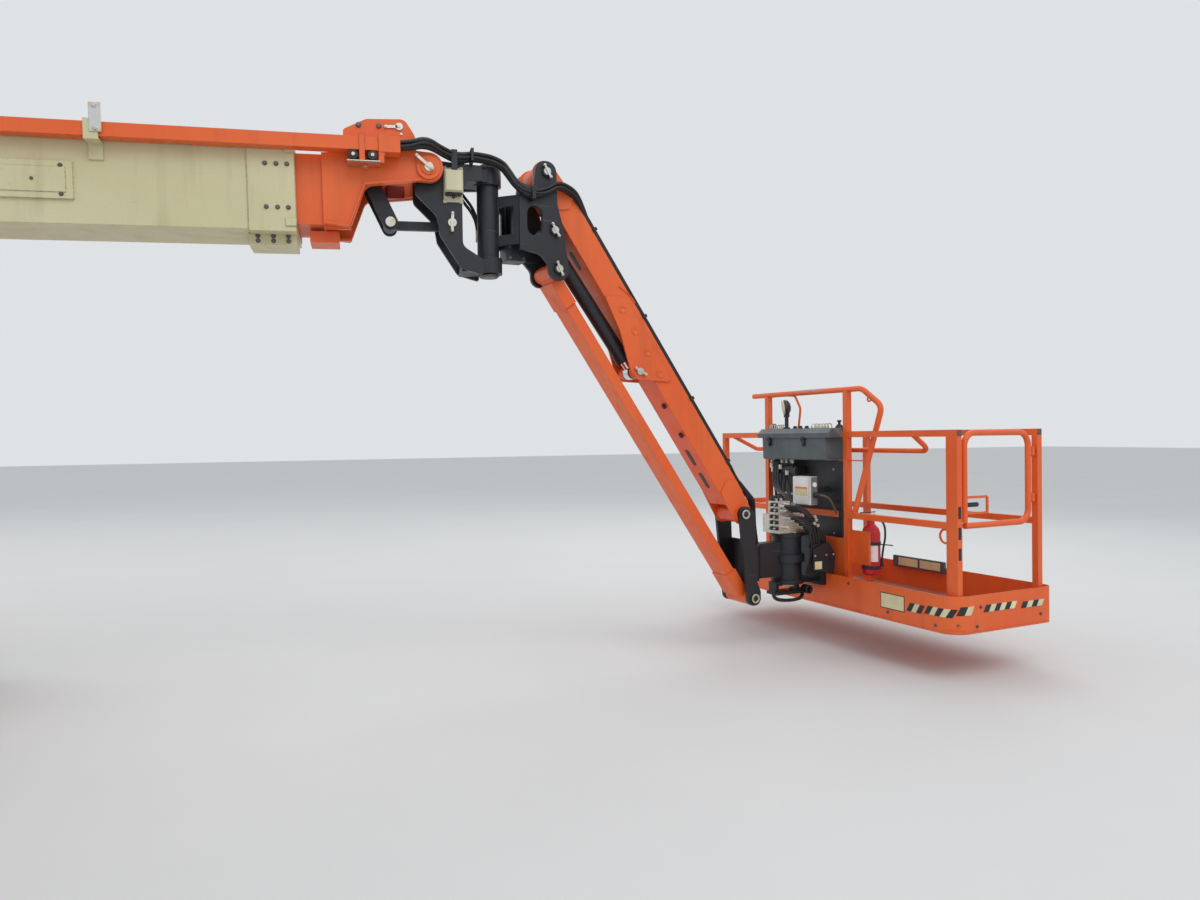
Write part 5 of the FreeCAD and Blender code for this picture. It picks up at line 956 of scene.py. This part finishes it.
def dress_platform():
    black = Piece("skirt_black_stripes", "platform", PLATFORM, "black_paint")
    pale = Piece("skirt_pale_stripes", "platform", PLATFORM, "cream_plastic", LABEL_CREAM)
    for start, end, low, high, lean in ((-0.245, -0.130, 0.088, 0.140, 0.030), (-0.105, 0.085, 0.096, 0.146, 0.030),
                                        (0.105, 0.200, 0.110, 0.160, 0.026), (0.300, 0.560, 0.116, 0.158, 0.024),
                                        (0.615, 0.800, 0.110, 0.148, 0.020)):
        count = max(2, round((end - start) / 0.042))
        width = (end - start) / count
        for i in range(count):
            stripe(pale if i % 2 else black, start + i * width, start + (i + 1) * width, low, high, lean)
    black.put(block(0.200, 0.098, 0.0008, 0), (-0.0802, -0.740, 0.122), "-x")
    pale.put(block(0.190, 0.088, 0.0014, 0.0004), (-0.0805, -0.740, 0.122), "-x")
    lip = Piece("skirt_lip", "platform", PLATFORM, "orange_paint")
    lip.tube([skirt_point(-1.90, 0.014, -0.001), skirt_point(-0.10, 0.014, -0.001), skirt_point(0.0, 0.014, -0.001), skirt_point(0.094, 0.014, 0.026),
              skirt_point(0.189, 0.014, -0.001), skirt_point(0.30, 0.014, -0.001), skirt_point(0.86, 0.014, -0.001)][0:0] or
             ((-0.0795, 1.05, 0.016), (-0.0795, -1.060, 0.016), (-0.0795, -1.2195, 0.016), (0.060, -1.2195, 0.016), (0.690, -1.2195, 0.016)), 0.004, 2)
    bolts = Piece("platform_bolts", "platform", PLATFORM, "zinc_plate", STEEL_DARK)
    for y, z in ((-0.700, 0.052), (-1.080, 0.040), (0.2, 0.052), (0.8, 0.052), (0.35, 0.180), (-0.35, 0.180)):
        bolts.bolt((-0.080, y, z), "-x", 0.008)
    for x, z in ((0.130, 0.150), (0.640, 0.060), (0.100, 0.040)):
        bolts.bolt((x, -1.220, z), "-y", 0.008)
        bolts.bolt((x, 1.220, z), "y", 0.008)
    for x in (0.0, 0.678):
        for face, side in BOTH_SIDES:
            bolts.put(block(0.034, 0.034, 0.003), (x, side * 1.1895, 1.160), face)
    feet = Piece("post_feet", "platform", PLATFORM, "orange_paint")
    for x, y in ((0, -1.170), (0, 1.170), (0.678, -1.170), (0.678, 1.170), (0.678, 0.290), (0, -0.260), (0, 0.597)):
        feet.put(block(0.074, 0.074, 0.006), (x, y, 0.048), "z")
        for across in (-0.029, 0.029):
            bolts.bolt((x + across, y + across, 0.054), "z", 0.006)
    for x, face in ((0.018, 1), (0.660, -1)):
        feet.put(sheet_metal(((0, 0), (0.075 * face, 0), (0, 0.080)), 0.006), (x + 0.003 * face, -1.167, 0.054), "-y")

    ring_handle = Piece("lanyard_rings", "platform", PLATFORM, "orange_paint")
    for y in (-1.085, 0.90):
        ring_handle.put(turned([(0.040 + 0.007 * math.cos(math.pi * i / 5), 0.007 * math.sin(math.pi * i / 5)) for i in range(10)], closed=True),
                        (0, y, 0.556), "x")
    clamp = Piece("rail_clamp", "platform", PLATFORM, "black_plastic")
    clamp.put(block(0.054, 0.054, 0.046, 0.004), (0.0, -0.195, 0.620), "-y")

    latch = Piece("gate_latch", "platform_gate", PLATFORM, "orange_paint")
    for x, z, across, up in ((0.150, 0.785, 0.190, 0.014), (0.052, 0.735, 0.014, 0.100), (0.150, 0.690, 0.190, 0.014), (0.248, 0.735, 0.014, 0.100)):
        latch.put(block(across, up, 0.012), (x, -1.164, z), "-y")
    handle = Piece("gate_handle", "platform_gate", PLATFORM, "black_plastic")
    handle.put(block(0.122, 0.026, 0.022, 0.006), (0.112, -1.158, 0.741), "-y")
    handle.put(disc(0.010, 0.040), (0.090, -1.160, 0.741), "y")
    marks = Piece("post_blank_plates", "platform", PLATFORM, "black_paint")
    for z in (0.46, 0.58, 0.70):
        marks.put(block(0.022, 0.070, 0.0012, 0.0003), (0.0, -1.1905, z), "-y")

    tab = Piece("guard_bracket", "platform", PLATFORM, "orange_paint")
    tab.put(ring(0.020, 0.010, 0.008), (0.030, -0.440, 1.388), "-x")
    tab.put(block(0.014, 0.030, 0.008), (0.030, -0.452, 1.405), "-x")
    scuff = Piece("guard_scuffed_sleeve", "platform", PLATFORM, "zinc_plate", moulded("scuffed_paint", (0.36, 0.31, 0.28), 0.6))
    scuff.tube(((0, 0.260, 1.4605), (0, 0.120, 1.4605), (0, -0.020, 1.4605)), 0.0192, 4)
    sign = Piece("placard_box", "platform", PLATFORM, "grey_plastic")
    sign.put(block(0.480, 0.080, 0.026, 0.004), (0.753, -0.160, 0.222), "-x")
    faces = Piece("placard_blank_faces", "platform", PLATFORM, "cream_plastic", LABEL_CREAM)
    for y in (-0.275, -0.070):
        faces.put(block(0.186, 0.056, 0.0015, 0.0004), (0.727, y, 0.224), "-x")

    dress_extinguisher()


def dress_extinguisher():
    x, y, radius = 0.0883, -0.380, 0.060
    white = Piece("extinguisher_label", "platform", PLATFORM, "cream_plastic", LABEL_WHITE)
    shape = bmesh.new()
    steps = 10
    rows = []
    for z in (0.320, 0.450):
        for reach in (radius, radius + 0.0012):
            turns = [math.radians(-172 + 84 * i / steps) for i in range(steps + 1)]
            rows.append([shape.verts.new((x + reach * math.cos(t), y + reach * math.sin(t), z)) for t in turns])
    low_in, low_out, high_in, high_out = rows
    for i in range(steps):
        for first, second in ((low_out, high_out), (high_out, high_in), (high_in, low_in), (low_in, low_out)):
            shape.faces.new((first[i], first[i + 1], second[i + 1], second[i]))
    bmesh.ops.recalc_face_normals(shape, faces=shape.faces)
    white.take(shape, Matrix.Identity(4))
    dark = Piece("extinguisher_fittings", "platform", PLATFORM, "black_plastic")
    dark.put(ring(radius + 0.004, radius, 0.022), (x, y, 0.428), "z")
    dark.put(ring(radius + 0.004, radius, 0.022), (x, y, 0.270), "z")
    dark.put(turned(((0, 0), (0.020, 0), (0.022, 0.010), (0.016, 0.024), (0, 0.024))), (x, y, 0.600), "z")
    dark.put(block(0.110, 0.020, 0.008, 0.003), (x - 0.022, y, 0.622), "z")
    dark.put(block(0.125, 0.018, 0.006, 0.002), (x - 0.026, y, 0.640), "z")
    dark.tube(((x, y - 0.018, 0.612), (x + 0.01, y - 0.055, 0.610), (x + 0.045, y - 0.078, 0.570), (x + 0.060, y - 0.070, 0.480),
               (x + 0.050, y - 0.055, 0.400), (x + 0.046, y - 0.050, 0.330)), 0.007)
    dark.put(turned(((0, 0), (0.008, 0), (0.012, 0.050), (0, 0.050))), (x + 0.046, y - 0.050, 0.335), "-z")
    dark.tube(((x - 0.02, y - 0.064, 0.436), (x + 0.06, y - 0.066, 0.432), (x + 0.13, y - 0.062, 0.418)), 0.004)
    gauge = Piece("extinguisher_gauge", "platform", PLATFORM, "zinc_plate")
    gauge.put(disc(0.014, 0.010), (x - 0.012, y - 0.018, 0.614), "-y")


# Base: wheel nuts, hub caps, hood latches and louvres, ground controls and tie-downs; the cylinder fittings below are
# not made, as dress_cylinders is not called

def dress_wheels():
    for corner in ("front_left", "front_right", "rear_left", "rear_right"):
        side = 1 if corner.endswith("left") else -1
        face = "y" if side > 0 else "-y"
        body = "wheel_" + corner
        place = Matrix.Translation(JOINT_AT["spin_" + corner])
        middle = sum((Vector(c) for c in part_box("rim_" + corner)), Vector()) / 2
        place = Matrix.Translation((middle.x, middle.y, middle.z))
        nuts = Piece("nuts_" + corner, body, place, "zinc_plate")
        cap = Piece("hub_" + corner, body, place, "cream_paint")
        out = side * 0.1425
        cap.put(turned(((0, 0), (0.105, 0), (0.105, 0.020), (0.092, 0.034), (0.030, 0.040), (0, 0.040))), (0, out, 0), face)
        for i in range(10):
            turn = 2 * math.pi * i / 10
            at = (0.140 * math.cos(turn), out, 0.140 * math.sin(turn))
            nuts.bolt(at, face, 0.016)
            nuts.put(disc(0.009, 0.026), at, face)
        for i in range(3):
            turn = 2 * math.pi * i / 3 + 0.5
            nuts.bolt((0.070 * math.cos(turn), out + side * 0.034, 0.070 * math.sin(turn)), face, 0.009)
        valve = Piece("valve_" + corner, body, place, "black_plastic")
        valve.put(disc(0.006, 0.050), (0.300, side * 0.105, 0), face)


HOOD_START = -2.815
HOOD_SIDE = 1.215


def dress_hoods():
    for name, side in (("left", 1), ("right", -1)):
        face = "y" if side > 0 else "-y"
        fins = Piece("louvres_" + name, "hood_" + name, MACHINE, "black_paint")
        fittings = Piece("latches_" + name, "hood_" + name, MACHINE, "black_plastic")
        seams = Piece("hood_seams_" + name, "hood_" + name, MACHINE, "orange_paint")
        for i in range(14):
            x = HOOD_START + 0.330 + 0.062 * i
            fins.put(block(0.006, 0.386, 0.024, 0), (x - 0.008, side * (HOOD_SIDE - 0.028), 1.740), face)
            fins.put(block(0.006, 0.386, 0.016, 0), (x + 0.008, side * (HOOD_SIDE - 0.022), 1.740), face)
        for x in (-2.45, -0.97, 0.55):
            fittings.put(block(0.110, 0.150, 0.010, 0.006), (x, side * (HOOD_SIDE + 0.0), 1.330), face)
            fittings.put(block(0.070, 0.030, 0.020, 0.006), (x, side * (HOOD_SIDE + 0.006), 1.345), face)
            fittings.put(disc(0.014, 0.014), (x, side * (HOOD_SIDE + 0.008), 1.290), face)
        fittings.put(block(3.640, 0.014, 0.008), (HOOD_START + 1.845, side * HOOD_SIDE, 1.229), face)
        for x in (-1.47, 0.02):
            seams.put(block(0.010, 0.720, 0.006), (x, side * HOOD_SIDE, 1.640), face)
        seams.tube(((-0.80, side * (HOOD_SIDE - 0.02), 2.02), (-0.80, side * (HOOD_SIDE + 0.016), 2.02), (-0.70, side * (HOOD_SIDE + 0.020), 2.02),
                    (-0.10, side * (HOOD_SIDE + 0.020), 2.02), (0.0, side * (HOOD_SIDE + 0.016), 2.02), (0.0, side * (HOOD_SIDE - 0.02), 2.02)), 0.009)


def dress_turntable():
    controls = Piece("ground_switches", "turntable", MACHINE, "zinc_plate")
    dark = Piece("ground_black_parts", "turntable", MACHINE, "black_plastic")
    plates = Piece("ground_blank_plates", "turntable", MACHINE, "cream_plastic", LABEL_CREAM)
    front = 1.097
    for row in range(3):
        for column in range(4):
            y, z = -1.010 + 0.072 * column, 1.70 + 0.085 * row
            dark.put(disc(0.012, 0.003), (front, y, z), "x")
            controls.put(disc(0.009, 0.006, 0.001, 6), (front, y, z), "x")
            controls.put(disc(0.0035, 0.026), (front, y, z), "x")
    dark.put(turned(((0, 0), (0.022, 0), (0.022, 0.008), (0.016, 0.010), (0.020, 0.020), (0.026, 0.026), (0, 0.030))), (front, -0.800, 1.625), "x")
    plates.put(block(0.180, 0.070, 0.0015), (front, -0.930, 1.610), "x")
    plates.put(block(0.300, 0.040, 0.0015), (front, -0.900, 1.545), "x")
    for y in (-1.06, -0.74):
        for z in (1.53, 1.93):
            controls.bolt((front, y, z), "x", 0.007)
    deck = Piece("turntable_bolts", "turntable", MACHINE, "zinc_plate", STEEL_DARK)
    for side, face in ((1, "y"), (-1, "-y")):
        for x in (-2.6, -1.9, -1.2, -0.5, 0.2, 0.75):
            deck.bolt((x, side * HOOD_SIDE, 1.200), face, 0.010)
        for z in (1.45, 1.85):
            deck.bolt((-3.0, side * 1.200, z), face, 0.028)
    pins = Piece("tower_pin_ends", "turntable", MACHINE, "zinc_plate")
    for face, side in BOTH_SIDES:
        pin_head(pins, 2.150, 1.900, 0.278, 0.036, face)
        keeper(pins, 2.150, 1.900, 0.278, 0.170, 35, 0.026, face)
    weight = Piece("counterweight_lugs", "turntable", MACHINE, "cast_counterweight")
    for y in (-0.75, 0.75):
        weight.put(turned([(0.042 + 0.014 * math.cos(math.pi * i / 5), 0.014 * math.sin(math.pi * i / 5)) for i in range(10)], closed=True),
                   (-3.12, y, 2.120), "y")


def dress_chassis():
    lugs = Piece("chassis_bolts", "chassis", MACHINE, "zinc_plate", STEEL_DARK)
    for end in (-1, 1):
        for y in (-0.30, 0.30):
            for across in (-0.05, 0.05):
                lugs.bolt((end * 2.230, y + across, 0.800), "x" if end > 0 else "-x", 0.012)
        for y in (-0.12, 0.12):
            for z in (0.72, 0.88):
                lugs.bolt((end * 2.230, y, z), "x" if end > 0 else "-x", 0.014)
    for i in range(20):
        turn = 2 * math.pi * i / 20
        lugs.bolt((0.520 * math.cos(turn), 0.520 * math.sin(turn), 0.950), "z", 0.014)


def dress_cylinders():
    """Port fittings and short steel pipes on the lift cylinders' barrels."""
    for name, radius in (("tower_lift", 0.088), ("boom_lift", None), ("jib_lift", None)):
        body = name + "_barrel"
        low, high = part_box(body)
        size = high - low
        across = size.y / 2
        place = Matrix.Translation((low + high) / 2)
        along = Vector((size.x, 0, size.z))
        if name == "jib_lift":
            direction = ARM_ALONG.normalized()
        else:
            end = JOINT_AT[name + "_barrel_pivot"]
            middle = (low + high) / 2
            direction = (middle - end).normalized()
        place = frame_along((low + high) / 2, direction)
        bright = Piece(name + "_ports", body, place, "zinc_plate")
        half = along.length / 2 - 0.16
        for x in (-0.8 * half, 0.8 * half):
            bright.put(disc(0.014, 0.030, 0.002, 6), (x, 0, across - 0.016), "z")
            bright.put(disc(0.010, 0.044, 0.002), (x, 0, across - 0.016), "z")
        pipe = Piece(name + "_pipe", body, place, "black_paint")
        height = across + 0.022
        pipe.tube(((-0.8 * half, 0, height - 0.01), (-0.74 * half, 0, height), (0, 0, height), (0.74 * half, 0, height), (0.8 * half, 0, height - 0.01)), 0.007)


dress_boom()
dress_nose()
dress_hoses()
dress_jib()
dress_support()
dress_console()
dress_platform()
dress_wheels()
dress_hoods()
dress_turntable()
dress_chassis()
for made in PIECES.values():
    made.finish()
